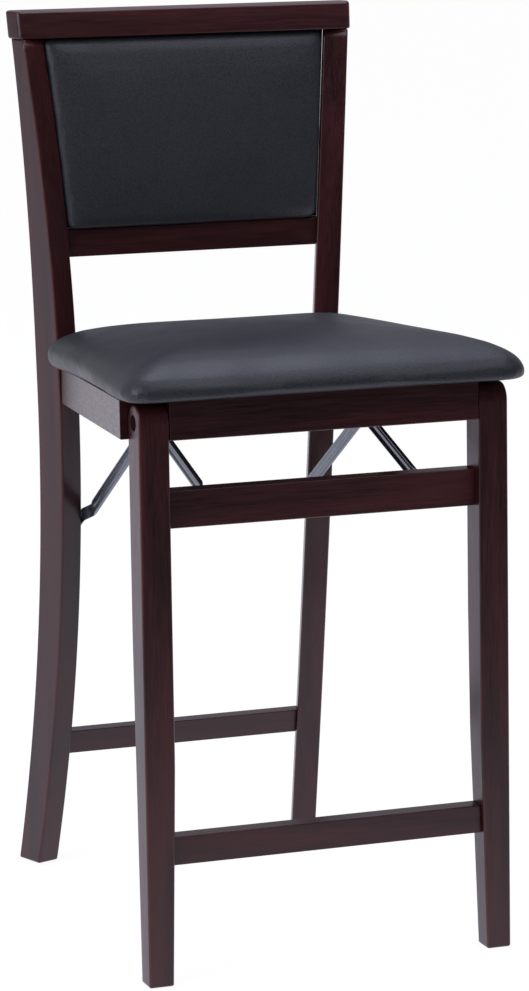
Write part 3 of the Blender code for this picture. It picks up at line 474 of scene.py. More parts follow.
def cross_board(name, section, half_width, edge, number):
    """A rail across the stool from its (y, z) section, its ends cut where half_width says."""
    outline, wear = rounded(section, edge)
    y, z = outline[:, 0], outline[:, 1]
    near, far = points(-half_width(y, z), y, z), points(half_width(y, z), y, z)
    return wooden_board(name, near, far, BUTT_EDGE, "x", number, wear, spans=8)


def section_box(front, thick, low, high):
    """Corners of a rail's section, low front first, between two heights; front is its front plane."""
    return [(front(low), low), (front(low + high), low + high),
            (front(low + high) + thick, low + high), (front(low) + thick, low)]


# Materials

def add_node(tree, kind, inputs=None, **properties):
    """Adds a shader node of a kind, sets its properties, and gives its inputs values or links."""
    node = tree.nodes.new("ShaderNode" + kind)
    for name, value in properties.items():
        setattr(node, name, value)
    for name, value in (inputs or {}).items():
        if isinstance(value, bpy.types.NodeSocket):
            tree.links.new(value, node.inputs[name])
        else:
            node.inputs[name].default_value = value
    return node


def node_material(name, shade):
    """The named material; shade(tree) makes its nodes the first time it is asked for."""
    material = bpy.data.materials.get(name)
    if material is None:
        material = bpy.data.materials.new(name)
        material.use_nodes = True
        tree = material.node_tree
        tree.nodes.clear()
        add_node(tree, "OutputMaterial", {"Surface": shade(tree).outputs[0]})
    return material


def beech_shader(tree, place, worn=None):
    """Espresso-stained beech: figure, fibre streaks, ray flecks and a satin coat, on a plank's place."""
    sizes, finishes = bpy.context.scene.stool_sizes, bpy.context.scene.stool_finishes
    # Broad figure: bands about 28 mm wide that run 350 mm along the plank
    broad = add_node(tree, "VectorMath", {0: place, 1: (36.0, 36.0, 2.8)}, operation="MULTIPLY")
    figure = add_node(tree, "TexNoise", {
        "Vector": broad.outputs[0], "Scale": 1.0, "Detail": 3.0, "Roughness": 0.55, "Distortion": 0.6})
    # Fibres: streaks as wide as fibre_width and about 26 times as long
    fibre = 1.0 / sizes.fibre_width
    fine = add_node(tree, "VectorMath", {0: place, 1: (fibre, fibre, fibre / 26.0)},
                    operation="MULTIPLY")
    fibres = add_node(tree, "TexNoise", {
        "Vector": fine.outputs[0], "Scale": 1.0, "Detail": 2.0, "Roughness": 0.6})
    # Ray flecks: thin lens shapes, a sixth as wide as they are long
    short = 1.0 / sizes.fleck_length
    lens = add_node(tree, "VectorMath", {0: place, 1: (short * 6.0, short * 6.0, short)},
                    operation="MULTIPLY")
    fleck = add_node(tree, "TexVoronoi", {"Vector": lens.outputs[0], "Scale": 1.0})
    spots = add_node(tree, "MapRange", {
        "Value": fleck.outputs["Distance"], "From Min": 0.12, "From Max": 0.34,
        "To Min": 1.0, "To Max": 0.0})
    mixed = add_node(tree, "Math", {
        0: fibres.outputs["Fac"], 1: 0.55, 2: figure.outputs["Fac"]}, operation="MULTIPLY_ADD")
    amount = add_node(tree, "MapRange", {
        "Value": mixed.outputs[0], "From Min": 0.55, "From Max": 1.05})
    stain = add_node(tree, "Mix", {
        0: amount.outputs[0], 6: finishes.stain_dark, 7: finishes.stain_light}, data_type="RGBA")
    flecked = add_node(tree, "Math", {0: spots.outputs[0], 1: 0.28}, operation="MULTIPLY")
    colour = add_node(tree, "Mix", {
        0: flecked.outputs[0], 6: stain.outputs[2], 7: finishes.stain_dark}, data_type="RGBA")
    if worn is not None:
        # The stain is thin on sanded edges, in a broken line that follows the figure
        broken = add_node(tree, "MapRange", {
            "Value": figure.outputs["Fac"], "From Min": 0.42, "From Max": 0.62,
            "To Min": 0.05, "To Max": 0.55})
        edge = add_node(tree, "Math", {0: worn, 1: broken.outputs[0]}, operation="MULTIPLY")
        colour = add_node(tree, "Mix", {
            0: edge.outputs[0], 6: colour.outputs[2], 7: finishes.stain_worn}, data_type="RGBA")
    gloss = add_node(tree, "MapRange", {
        "Value": fibres.outputs["Fac"], "From Min": 0.3, "From Max": 0.7, "To Min": 0.30, "To Max": 0.42})
    bump = add_node(tree, "Bump", {
        "Strength": 0.35, "Distance": 0.0002, "Height": fibres.outputs["Fac"]})
    return add_node(tree, "BsdfPrincipled", {
        "Base Color": colour.outputs[2], "Roughness": gloss.outputs[0], "Normal": bump.outputs[0],
        "IOR": 1.5, "Specular IOR Level": 0.38, "Coat Weight": 0.21, "Coat Roughness": 0.22})


def stained_beech(tree):
    """Beech planed, sanded, wiped with espresso stain and sprayed with a satin lacquer.

    To the eye: nearly black red-brown with faint streaks along the grain, a soft shine that turns
    pale at low angles, and thin red-brown lines where the edges were sanded.
    """
    plank = add_node(tree, "Attribute", attribute_name="plank")
    worn = add_node(tree, "Attribute", attribute_name="worn")
    return beech_shader(tree, plank.outputs["Vector"], worn.outputs["Fac"])


def stained_block(tree):
    """The same stained beech on the small blocks and the batten, its grain across the stool."""
    here = add_node(tree, "TexCoord")
    turned = add_node(tree, "Mapping", {
        "Vector": here.outputs["Object"], "Rotation": (0.0, math.pi / 2, 0.0)})
    return beech_shader(tree, turned.outputs[0])


def pebbled_vinyl(tree):
    """Calendered vinyl on a knitted backing, embossed with a fine pebble by a hot roller.

    To the eye: charcoal, slightly blue in the light, with a soft satin sheen broken by the pebble
    and by shallow creases that run across the cover, and painted shade in the valleys between the pebbles.
    """
    sizes, finishes = bpy.context.scene.stool_sizes, bpy.context.scene.stool_finishes
    here = add_node(tree, "TexCoord")
    # The real pebble is about 1 mm; it is drawn at sizes.pebble so that it shows in the render
    pebble = add_node(tree, "TexVoronoi", {
        "Vector": here.outputs["Object"], "Scale": 1.0 / sizes.pebble, "Smoothness": 0.6},
        feature="SMOOTH_F1")
    # Creases: about 14 mm long and 4 mm apart, across the cover
    long_way = add_node(tree, "Mapping", {
        "Vector": here.outputs["Object"], "Scale": (70.0, 260.0, 260.0)})
    crease = add_node(tree, "TexNoise", {
        "Vector": long_way.outputs[0], "Scale": 1.0, "Detail": 3.0, "Roughness": 0.6, "Distortion": 0.8})
    # The sheen drifts over patches about 60 mm wide
    broad = add_node(tree, "TexNoise", {
        "Vector": here.outputs["Object"], "Scale": 16.0, "Detail": 2.0})
    raised = add_node(tree, "MapRange", {
        "Value": pebble.outputs["Distance"], "From Min": 0.10, "From Max": 0.75,
        "To Min": 1.0, "To Max": 0.0})
    height = add_node(tree, "Math", {
        0: crease.outputs["Fac"], 1: 1.3, 2: raised.outputs[0]}, operation="MULTIPLY_ADD")
    # Painted shade: the charcoal darkens towards the valley colour where the pebble is low, for the shade
    # between the pebbles
    colour = add_node(tree, "Mix", {
        0: raised.outputs[0], 6: finishes.vinyl_valley_shade, 7: finishes.vinyl_body}, data_type="RGBA")
    sheen = add_node(tree, "MapRange", {
        "Value": broad.outputs["Fac"], "From Min": 0.3, "From Max": 0.7, "To Min": 0.40, "To Max": 0.50})
    bump = add_node(tree, "Bump", {
        "Strength": 0.45, "Distance": 0.00025, "Height": height.outputs[0]})
    return add_node(tree, "BsdfPrincipled", {
        "Base Color": colour.outputs[2], "Roughness": sheen.outputs[0], "Normal": bump.outputs[0],
        "IOR": 1.5, "Specular IOR Level": 0.5})


def coated_steel(tree, colour, low_gloss, high_gloss, metallic):
    """Cold-rolled steel, pressed to shape and coated; fine specks and rubbed spots in the coat.

    To the eye: dark grey with soft blue-grey highlights that follow the pressed edges.
    """
    here = add_node(tree, "TexCoord")
    # Specks of the coat, 1.5 mm apart, and rubbed patches about 25 mm across
    speck = add_node(tree, "TexNoise", {
        "Vector": here.outputs["Object"], "Scale": 660.0, "Detail": 2.0})
    rubbed = add_node(tree, "TexNoise", {
        "Vector": here.outputs["Object"], "Scale": 40.0, "Detail": 4.0, "Roughness": 0.6})
    gloss = add_node(tree, "MapRange", {
        "Value": rubbed.outputs["Fac"], "From Min": 0.3, "From Max": 0.7,
        "To Min": low_gloss, "To Max": high_gloss})
    tint = add_node(tree, "Mix", {
        0: rubbed.outputs["Fac"], 6: dimmed(colour, 0.72), 7: tuple(colour)}, data_type="RGBA")
    bump = add_node(tree, "Bump", {
        "Strength": 0.12, "Distance": 0.0001, "Height": speck.outputs["Fac"]})
    return add_node(tree, "BsdfPrincipled", {
        "Base Color": tint.outputs[2], "Roughness": gloss.outputs[0], "Normal": bump.outputs[0],
        "Metallic": metallic})


def gunmetal_coat(tree):
    """The braces, links, lugs and brackets: a satin gunmetal coat baked on."""
    return coated_steel(tree, bpy.context.scene.stool_finishes.gunmetal, 0.26, 0.40, 0.9)


def zinc_plate(tree):
    """The bolts, screws, pins and rivets: bright zinc plating, a little smoother than the coat."""
    return coated_steel(tree, bpy.context.scene.stool_finishes.zinc, 0.22, 0.34, 1.0)


def stained_plywood(tree):
    """Rotary-cut birch plywood wiped with the same espresso stain and left matt: wide soft flames."""
    stain = bpy.context.scene.stool_finishes.plywood
    here = add_node(tree, "TexCoord")
    # Rotary figure: flames about 40 mm wide and 200 mm long
    wide = add_node(tree, "Mapping", {
        "Vector": here.outputs["Object"], "Scale": (5.0, 26.0, 26.0)})
    flame = add_node(tree, "TexNoise", {
        "Vector": wide.outputs[0], "Scale": 1.0, "Detail": 5.0, "Distortion": 1.6})
    # Fibres about 1 mm wide and 25 mm long
    fine = add_node(tree, "Mapping", {
        "Vector": here.outputs["Object"], "Scale": (40.0, 900.0, 900.0)})
    fibres = add_node(tree, "TexNoise", {"Vector": fine.outputs[0], "Scale": 1.0, "Detail": 2.0})
    amount = add_node(tree, "Math", {
        0: flame.outputs["Fac"], 1: fibres.outputs["Fac"]}, operation="MULTIPLY")
    colour = add_node(tree, "Mix", {
        0: amount.outputs[0], 6: tuple(stain), 7: dimmed(stain, 0.62)}, data_type="RGBA")
    bump = add_node(tree, "Bump", {
        "Strength": 0.2, "Distance": 0.0002, "Height": fibres.outputs["Fac"]})
    return add_node(tree, "BsdfPrincipled", {
        "Base Color": colour.outputs[2], "Roughness": 0.72, "Normal": bump.outputs[0]})


def bare_beech(tree):
    """Beech dowels, turned and left unfinished: pale, with short brown flecks along the grain."""
    here = add_node(tree, "TexCoord")
    # Flecks about 0.5 mm wide and 4 mm long, along the dowel
    long_way = add_node(tree, "Mapping", {
        "Vector": here.outputs["Object"], "Scale": (250.0, 2000.0, 2000.0)})
    flecks = add_node(tree, "TexNoise", {
        "Vector": long_way.outputs[0], "Scale": 1.0, "Detail": 2.0})
    colour = add_node(tree, "Mix", {
        0: flecks.outputs["Fac"], 6: linear("#cdb495"), 7: linear("#a9835c")}, data_type="RGBA")
    return add_node(tree, "BsdfPrincipled", {"Base Color": colour.outputs[2], "Roughness": 0.68})


def give_material(nodes, material):
    """Assign a material to every slot of these CAD nodes."""
    for node in nodes:
        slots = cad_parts[node].material_slots
        if not slots:
            raise RuntimeError(f"{node} has no material slot")
        for place in slots:
            place.material = material


def on_both_sides(stems):
    """The names of the left and right nodes for each stem."""
    return [stem + side for side, _ in SIDES for stem in stems]


# Pads

# The cushion from its flat bottom over its rim to its crown, as (inset, height above the frame):
# the rim hangs low in front, and is lifted at the rear where the cover is pulled under
FRONT_PROFILE = np.array([
    (0.0220, 0.0008), (0.0080, 0.0002), (0.0028, 0.0012), (0.0005, 0.0050), (0.0, 0.0100),
    (0.0012, 0.0158), (0.0042, 0.0218), (0.0095, 0.0275), (0.0175, 0.0328), (0.0290, 0.0380),
    (0.0450, 0.0428), (0.0680, 0.0474), (0.1000, 0.0518), (0.1400, 0.0549), (0.1780, CUSHION_HIGH)])
REAR_PROFILE = np.array([
    (0.0220, 0.0008), (0.0130, 0.0022), (0.0062, 0.0060), (0.0018, 0.0112), (0.0, 0.0172),
    (0.0006, 0.0220), (0.0030, 0.0268), (0.0078, 0.0314), (0.0155, 0.0358), (0.0270, 0.0402),
    (0.0430, 0.0442), (0.0670, 0.0482), (0.1000, 0.0521), (0.1400, 0.0550), (0.1780, CUSHION_HIGH)])


def cushion_outline(inset, count=160):
    """Plan of the seat cushion as count points: a trapezoid with wide round corners.

    The points on the straights and the arcs are even in length. inset moves the whole outline
    inwards.
    """
    lean = (CUSHION_HALF_FRONT - CUSHION_HALF_REAR) / CUSHION_LONG
    front, back = CUSHION_FRONT + inset, CUSHION_FRONT + CUSHION_LONG - inset

    def half(along):
        return CUSHION_HALF_FRONT - lean * (along - CUSHION_FRONT) - inset

    corners = [(-half(front), front), (half(front), front), (half(back), back), (-half(back), back)]
    in_front = max(CUSHION_ROUND_FRONT - inset * 0.5, CUSHION_ROUND_LEAST)
    behind = max(CUSHION_ROUND_REAR - inset * 0.6, CUSHION_ROUND_LEAST)
    outline, _ = rounded(corners, [in_front, in_front, behind, behind], steps=24)
    x, along = evened(outline, count)
    # The cover pulls the sides in between the corners, most at their middles
    u, v = x / half(along), 2 * (along - front) / (back - front) - 1
    return np.stack([x * (1 - CUSHION_SIDE_PULL * (1 - v ** 2) ** 2),
                     along - v * CUSHION_END_PULL * (1 - u ** 2) ** 2], -1)


def smooth_profile(profile, count):
    """A smooth curve through a profile: cubic steps between its points, even in length."""
    run = run_length(profile)
    slope = np.gradient(profile, run, axis=0)
    at = np.linspace(0.0, run[-1], count)
    i = np.clip(np.searchsorted(run, at, side="right") - 1, 0, len(run) - 2)
    step = (run[i + 1] - run[i])[:, None]
    t = ((at - run[i]) / (run[i + 1] - run[i]))[:, None]
    return ((2 * t ** 3 - 3 * t ** 2 + 1) * profile[i] + (t ** 3 - 2 * t ** 2 + t) * step * slope[i]
            + (-2 * t ** 3 + 3 * t ** 2) * profile[i + 1] + (t ** 3 - t ** 2) * step * slope[i + 1])


def spread(mesh, moves, rounds):
    """Even out the points' moves: each round, a move becomes half itself and half its neighbours' mean."""
    edges = np.empty(len(mesh.edges) * 2, int)
    mesh.edges.foreach_get("vertices", edges)
    a, b = edges.reshape(-1, 2).T
    ends, others = np.concatenate([a, b]), np.concatenate([b, a])
    count = np.maximum(np.bincount(ends, minlength=len(moves)), 1)[:, None]
    for _ in range(rounds):
        total = np.stack([np.bincount(ends, moves[others, i], len(moves)) for i in range(3)], -1)
        moves = 0.5 * moves + 0.5 * total / count
    return moves


def swell(piece, voxel, cap, weight, rounds, direction=None):
    """Swell a pad as its foam does, by a short cloth simulation with air pressure.

    The mesh is remeshed to even squares and blown up for SWELL_FRAMES frames with no gravity. Each
    point keeps at most cap of its move, only along direction where one is given. The moves are
    evened out over rounds of neighbours, because the foam keeps the cover taut, and taken times
    weight(place).
    """
    remesh = piece.modifiers.new("even squares", "REMESH")
    remesh.mode = "VOXEL"
    remesh.voxel_size = voxel
    remesh.use_smooth_shade = True
    mesh = evaluated_mesh(piece)
    piece.modifiers.clear()
    piece.data = mesh
    start = coordinates(mesh)
    share = weight(start)
    pins = piece.vertex_groups.new(name="held")
    pins.add(np.flatnonzero(share < 0.02).tolist(), 1.0, "REPLACE")
    cloth = piece.modifiers.new("cloth", "CLOTH")
    cloth.settings.quality = 6
    cloth.settings.mass = 0.25
    cloth.settings.tension_stiffness = cloth.settings.compression_stiffness = 12.0
    cloth.settings.bending_stiffness = 0.8
    cloth.settings.use_pressure = True
    cloth.settings.uniform_pressure_force = 4.0
    cloth.settings.effector_weights.gravity = 0.0
    cloth.settings.vertex_group_mass = "held"
    cloth.point_cache.frame_start = 1
    cloth.point_cache.frame_end = SWELL_FRAMES
    scene = bpy.context.scene
    for number in range(1, SWELL_FRAMES + 1):
        scene.frame_set(number)
    moved = coordinates(piece.evaluated_get(bpy.context.evaluated_depsgraph_get()).data) - start
    piece.modifiers.clear()
    piece.vertex_groups.clear()
    scene.frame_set(1)
    if direction is not None:
        moved = np.maximum(moved @ direction, 0.0)[:, None] * direction
    length = np.linalg.norm(moved, axis=1, keepdims=True)
    moved = moved * np.minimum(1.0, cap / np.maximum(length, 1e-9))
    moved = spread(mesh, moved, rounds) * share[:, None]
    mesh.vertices.foreach_set("co", (start + moved).ravel())
    mesh.update()


def finish_pad(piece):
    """Vinyl, one live subdivision and smooth shading."""
    piece.data.polygons.foreach_set("use_smooth", np.ones(len(piece.data.polygons), bool))
    subdivision = piece.modifiers.new("smooth", "SUBSURF")
    subdivision.levels = subdivision.render_levels = 1
    piece.data.materials.clear()
    piece.data.materials.append(node_material("charcoal_pebbled_vinyl", pebbled_vinyl))


# Operators

class STOOL_OT_front_legs(bpy.types.Operator):
    """Front legs: boards with a rounded top, tapered feet and the sunk hole of the seat bolt"""

    bl_idname = "stool.front_legs"
    bl_label = "Front legs"

    def execute(self, context):
        # Side outline: up the front face, round the crown as half an ellipse, down the rear face
        z = np.linspace(0.0, PIVOT_HEIGHT, 40)
        crown = np.linspace(0.0, math.pi, 33)[1:-1]
        front = np.stack([front_face(z), z], -1)
        top = np.stack([PIVOT_Y - FRONT_LEG_DEEP / 2 * np.cos(crown),
                        PIVOT_HEIGHT + LEG_CROWN * np.sin(crown)], -1)
        rear = np.stack([front_face(z) + front_leg_depth(z), z], -1)[::-1]
        arcs, _ = rounded([rear[-2], rear[-1], front[0], front[1]], FOOT_ROUND, steps=5)
        outline = np.concatenate([arcs[10:15], front[1:], top, rear[:-1], arcs[5:10]])
        y, z = outline[:, 0], outline[:, 1]
        for number, (side, sign) in enumerate(SIDES):
            near = points(sign * FRONT_HALF_WIDTH, y, z)
            far = points(sign * front_inner_x(z), y, z)
            leg = wooden_board("leg_front_" + side, near, far, context.scene.stool_sizes.leg_edge, "z",
                               1 + number, np.zeros(len(y)))
            self.sink(leg, sign)
            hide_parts("front_leg_" + side)
            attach(leg, "front_frame")
        return {"FINISHED"}

    def sink(self, leg, sign):
        """Cut the bolt's sunk hole and its bore, which are turned rings along X."""
        turn = np.linspace(0.0, 2 * math.pi, 48, endpoint=False)
        bottom = FRONT_HALF_WIDTH - SINK_DEPTH
        x = np.array([FRONT_HALF_WIDTH + CUTTER_PAST, bottom, bottom,
                      FRONT_HALF_WIDTH - FRONT_LEG_WIDE - CUTTER_PAST])
        radius = np.array([SINK_RADIUS, SINK_RADIUS, BORE_RADIUS, BORE_RADIUS])
        cutter = closed_shell("cutter", points(
            sign * x[:, None], PIVOT_Y + radius[:, None] * np.cos(turn),
            PIVOT_HEIGHT + radius[:, None] * np.sin(turn)))
        weight = leg.modifiers["flat faces"].weight
        leg.modifiers.clear()
        cut = leg.modifiers.new("bolt hole", "BOOLEAN")
        cut.operation = "DIFFERENCE"
        cut.solver = "EXACT"
        cut.object = cutter
        leg.data = evaluated_mesh(leg)
        leg.modifiers.clear()
        leg.data.set_sharp_from_angle(angle=math.radians(50))
        flat_faces(leg).weight = weight
        bpy.data.objects.remove(cutter)


class STOOL_OT_front_rails(bpy.types.Operator):
    """Front rails: the footrest and the upper stretcher between the front legs"""

    bl_idname = "stool.front_rails"
    bl_label = "Front rails"

    def execute(self, context):
        for number, (name, node, set_back, thick, low, high) in enumerate(FRONT_RAILS):
            section = section_box(lambda z: front_face(z) + set_back, thick, low, high)
            rail = cross_board(name, section, lambda y, z: front_inner_x(z) - GAP,
                               context.scene.stool_sizes.rail_edge, 3 + number)
            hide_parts(node)
            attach(rail, "front_frame")
        return {"FINISHED"}


class STOOL_OT_back_legs(bpy.types.Operator):
    """Back legs: sabre boards turned out at the toe, which run up to become the back posts"""

    bl_idname = "stool.back_legs"
    bl_label = "Back legs"

    def execute(self, context):
        z = np.linspace(0.0, POST_TOP, 90)
        front, deep = back_front_edge(z), back_depth(z)
        outer = back_outer_x(front, z)
        height = np.concatenate([z, z[::-1]])
        for number, (side, sign) in enumerate(SIDES):
            outlines = []
            for inwards in (0.0, BACK_LEG_THICK):
                y = np.concatenate([front, (front + deep * TOE_ACROSS)[::-1]]) + inwards * TOE_ALONG
                x = np.concatenate([outer, (outer + deep * TOE_ALONG)[::-1]]) - inwards * TOE_ACROSS
                outline = points(sign * x, y, height)
                foot, _ = rounded(outline[[-2, -1, 0, 1]], FOOT_ROUND, steps=5)
                outlines.append(np.concatenate([foot[10:15], outline[1:-1], foot[5:10]]))
            leg = wooden_board("leg_back_" + side, *outlines, context.scene.stool_sizes.leg_edge, "z",
                               5 + number, np.zeros(len(outlines[0])))
            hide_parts("back_leg_" + side)
            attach(leg, "back_frame")
        return {"FINISHED"}


class STOOL_OT_back_rails(bpy.types.Operator):
    """Back rails: the crest, the lower back rail, the cross rail and the rear stretcher"""

    bl_idname = "stool.back_rails"
    bl_label = "Back rails"

    def execute(self, context):
        sizes = context.scene.stool_sizes
        for number, (name, node, set_back, thick, low, high) in enumerate(BACK_RAILS):
            section = section_box(lambda z: float(back_inner_front_y(z)) + set_back, thick, low, high)
            rail = cross_board(name, section, lambda y, z: back_inner_x(y, z) - GAP, sizes.rail_edge,
                               7 + number)
            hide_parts(node)
            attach(rail, "back_frame")
        self.crest(sizes.crest_edge)
        return {"FINISHED"}

    def crest(self, edge):
        """The crest between a lower and an upper plan, its front leaning on with the posts."""
        low = HEIGHT - CREST_HIGH
        slope = 2 * POST_SWEEP / (POST_TOP - BELLY_HEIGHT)
        front_edge = float(back_front_edge(POST_TOP))
        deep = (BACK_LEG_DEEP - POST_SLIMMER) * TOE_ACROSS
        outlines = []
        for z in (low, HEIGHT):
            front = front_edge + CREST_PAST_FRONT + slope * (z - low)
            side = float(back_outer_x(front_edge, POST_TOP)) + CREST_PAST_SIDE + BACK_SPREAD * (z - low)
            wide = side + BACK_TOE * deep
            rear = wide - CREST_REAR_CHAMFER
            plan = [(-side, front), (-wide, front + deep), (-rear, front + CREST_DEEP),
                    (rear, front + CREST_DEEP), (wide, front + deep), (side, front)]
            plan, wear = rounded(plan, np.array([2.0, 1.0, 1.0, 1.0, 1.0, 2.0]) * edge)
            outlines.append(points(plan[:, 0], plan[:, 1], z))
        crest = wooden_board("crest", *outlines, edge, "x", 11, wear)
        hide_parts("crest_rail")
        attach(crest, "back_frame")


class STOOL_OT_seat_frame(bpy.types.Operator):
    """Seat frame: the apron between the front legs and the two side rails"""

    bl_idname = "stool.seat_frame"
    bl_label = "Seat frame"

    def execute(self, context):
        edge = context.scene.stool_sizes.rail_edge
        half = FRONT_HALF_WIDTH - FRONT_LEG_WIDE - 2 * GAP
        section, wear = self.section(-FRONT_LEG_DEEP / 2, APRON_THICK, edge)
        ends = [seat_points(x, section[:, 0], section[:, 1]) for x in (-half, half)]
        apron = wooden_board("apron", *ends, BUTT_EDGE, "x", 13, wear, spans=8)
        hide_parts("front_apron")
        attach(apron, "seat")
        section, wear = self.section(0.0, RAIL_THICK, edge)
        for number, (side, sign) in enumerate(SIDES):
            ends = [seat_points(sign * (seat_half_width(along) - section[:, 0]), along, section[:, 1])
                    for along in (RAIL_START, SEAT_RAIL_END)]
            rail = wooden_board("rail_side_" + side, *ends, RAIL_END_EDGE, "y", 14 + number, wear, spans=8)
            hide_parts("side_rail_" + side)
            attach(rail, "seat")
        return {"FINISHED"}

    def section(self, start, thick, edge):
        """A rounded box as high as the seat frame, from start on."""
        return rounded([(start, FRAME_LOW), (start, FRAME_TOP), (start + thick, FRAME_TOP),
                        (start + thick, FRAME_LOW)], edge)


class STOOL_OT_seat_cushion(bpy.types.Operator):
    """Seat cushion: a foam pad under vinyl, with rolled edges, wide corners and a low crown"""

    bl_idname = "stool.seat_cushion"
    bl_label = "Seat cushion"

    def execute(self, context):
        sizes = context.scene.stool_sizes
        # It starts lower by what the simulation adds
        start_high = 1.0 - sizes.cushion_swell / CUSHION_HIGH
        front, rear = smooth_profile(FRONT_PROFILE, 46), smooth_profile(REAR_PROFILE, 46)
        low = np.stack([cushion_outline(inset) for inset in front[:, 0]])
        high = np.stack([cushion_outline(inset) for inset in rear[:, 0]])
        # The front's profile turns into the rear's from a tenth to three quarters of the length
        share = ease(((low[..., 1] - CUSHION_FRONT) / CUSHION_LONG - 0.1) / 0.65)
        plan = low + (high - low) * share[..., None]
        up = (front[:, 1:] + (rear[:, 1:] - front[:, 1:]) * share) * start_high + FRAME_TOP + GAP
        cushion = closed_shell("cushion_seat", seat_points(plan[..., 0], plan[..., 1], up))
        swell(cushion, sizes.cushion_voxel, sizes.cushion_swell, self.freedom, 120)
        finish_pad(cushion)
        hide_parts("seat_cushion")
        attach(cushion, "seat")
        return {"FINISHED"}

    def freedom(self, place):
        """How freely the cushion's points move: not at the flat bottom, fully 20 mm above it."""
        up = (place[:, 2] - PIVOT_HEIGHT) * SEAT_COS + (place[:, 1] + CENTRE_Y - PIVOT_Y) * SEAT_SIN
        return ease((up - FRAME_TOP - CUSHION_HELD) / CUSHION_FREE_RUN)


class STOOL_OT_back_pad(bpy.types.Operator):
    """Back pad: a thin foam pad under vinyl between the posts, the crest and the lower rail"""

    bl_idname = "stool.back_pad"
    bl_label = "Back pad"

    def execute(self, context):
        sizes = context.scene.stool_sizes
        # From the back: a small round, a quarter ellipse over the rim, a quarter sine to the middle
        a = np.linspace(0.0, math.pi / 2, 9)
        roll = np.stack([PAD_ROLL * (1 - np.cos(a)), PAD_RIM + (PAD_FULL - PAD_RIM) * np.sin(a)], -1)
        crown = np.linspace(0.0, 1.0, 12)[1:]
        field = np.stack([PAD_ROLL + PAD_CROWN_RUN * crown,
                          PAD_FULL + (PAD_DEEP - PAD_FULL) * np.sin(crown * math.pi / 2)], -1)
        profile = np.concatenate([[(0.0015, 0.0), (0.0004, 0.0006), (0.0, 0.0015)], roll, field])
        pad = closed_shell("pad_back", np.stack([self.outline(*step) for step in profile]))
        swell(pad, sizes.pad_voxel, sizes.pad_swell, self.freedom, 60, np.array([0.0, -1.0, 0.0]))
        finish_pad(pad)
        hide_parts("back_pad")
        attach(pad, "back_frame")
        return {"FINISHED"}

    def outline(self, inset, forward):
        """A trapezoid that follows the posts' inner faces, with rounded corners, this far forward."""
        low, high = PAD_LOW + inset, PAD_HIGH - inset
        half_low, half_high = (back_opening(z) - PAD_SIDE_GAP - inset for z in (low, high))
        corners = [(half_low, low), (half_high, high), (-half_high, high), (-half_low, low)]
        flat, _ = rounded(corners, max(PAD_ROUND - inset * 0.02, PAD_ROUND_LEAST), steps=8)
        x, z = evened(flat, 128)
        return points(x, back_inner_front_y(z) + PAD_BACK - forward, z)

    def freedom(self, place):
        """How freely the pad's points move: not at its back, fully in front of its rolled edge."""
        plane = back_inner_front_y(place[:, 2]) - CENTRE_Y + PAD_BACK
        return ease((plane - place[:, 1] - PAD_HELD) / PAD_FREE_RUN)


class STOOL_OT_braces(bpy.types.Operator):
    """Braces: pressed steel channels with a rib along the web, round ends and set-out feet"""

    bl_idname = "stool.braces"
    bl_label = "Braces"

    def execute(self, context):
        fore_x = BRACE_X - BRACE_PLAY
        foot_x = back_opening(PIVOT_HEIGHT + BACK_PIVOT[1]) - BRACE_FOOT_PLAY - BRACE_WEB
        for side, sign in SIDES:
            rear = self.channel("brace_rear_" + side, sign, CROSSING, BACK_PIVOT, BRACE_X, foot_x, 1.0)
            fore = self.channel("brace_front_" + side, sign, STRETCHER_PIVOT, CROSSING,
                                fore_x, fore_x, -1.0)
            for brace, node, body in ((rear, "rear_brace_", "rear_braces"),
                                      (fore, "front_brace_", "front_braces")):
                brace.data.materials.append(node_material("gunmetal_coated_steel", gunmetal_coat))
                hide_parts(node + side)
                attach(brace, body)
        return {"FINISHED"}

    def channel(self, name, sign, start, end, from_x, to_x, outwards):
        """A channel along a line in the side view.

        Its section is a flat web with a lip bent up along each edge and a low rib pressed between
        them, which leaves a groove in the back. Towards the ends the lips and the rib sink into the
        web, and the web's edge follows half a circle. The web's plane eases from from_x to to_x
        over the last 28 to 12 mm.
        """
        start, end = np.array(start), np.array(end)
        long = np.linalg.norm(end - start)
        line = (end - start) / long
        up = np.array([-line[1], line[0]])
        half, web = BRACE_HALF_WIDE, BRACE_WEB
        turn = np.radians([15, 30, 45, 60, 75, 90])
        at = np.concatenate([-half * np.cos(turn), np.linspace(0.0, long, 50)[1:-1],
                             long + half * np.cos(turn[::-1])])
        reach = np.concatenate([np.sin(turn), np.ones(48), np.sin(turn[::-1])])
        rise = (np.minimum(at, long - at) - LIP_START) / LIP_RUN
        if from_x != to_x:
            rise = np.minimum(rise, (long - at - SET_OUT_LIP) / LIP_RUN)
        rise = ease(rise)
        top, rib = web + BRACE_LIP * rise + 0.0001, BRACE_RIB * rise
        inner = half - BRACE_THICK
        right = [(BRACE_RIB_HALF, 0.8 * rib), (BRACE_RIB_FOOT, 0.0), (half, 0.0), (half, top), (inner, top),
                 (inner - 0.0006, web), (BRACE_RIB_FOOT, web), (BRACE_RIB_HALF, web + rib)]
        both = right + [(-across, out) for across, out in right[::-1]]
        section = np.stack([np.stack(np.broadcast_arrays(*corner, at)[:2], -1) for corner in both], 1)
        bends = np.full(len(right), BRACE_BEND)
        bends[2] = BRACE_OUTER_BEND
        bends = np.concatenate([bends, bends[::-1]])
        rows = np.stack([rounded(shape, bends, 5)[0] for shape in section])
        across = rows[..., 0] * reach[:, None]
        plane = from_x + (to_x - from_x) * ease((at - (long - SET_OUT_FROM)) / SET_OUT_RUN)
        brace = closed_shell(name, points(
            sign * (plane[:, None] + outwards * rows[..., 1]),
            PIVOT_Y + start[0] + line[0] * at[:, None] + up[0] * across,
            PIVOT_HEIGHT + start[1] + line[1] * at[:, None] + up[1] * across))
        flat_faces(brace)
        return brace


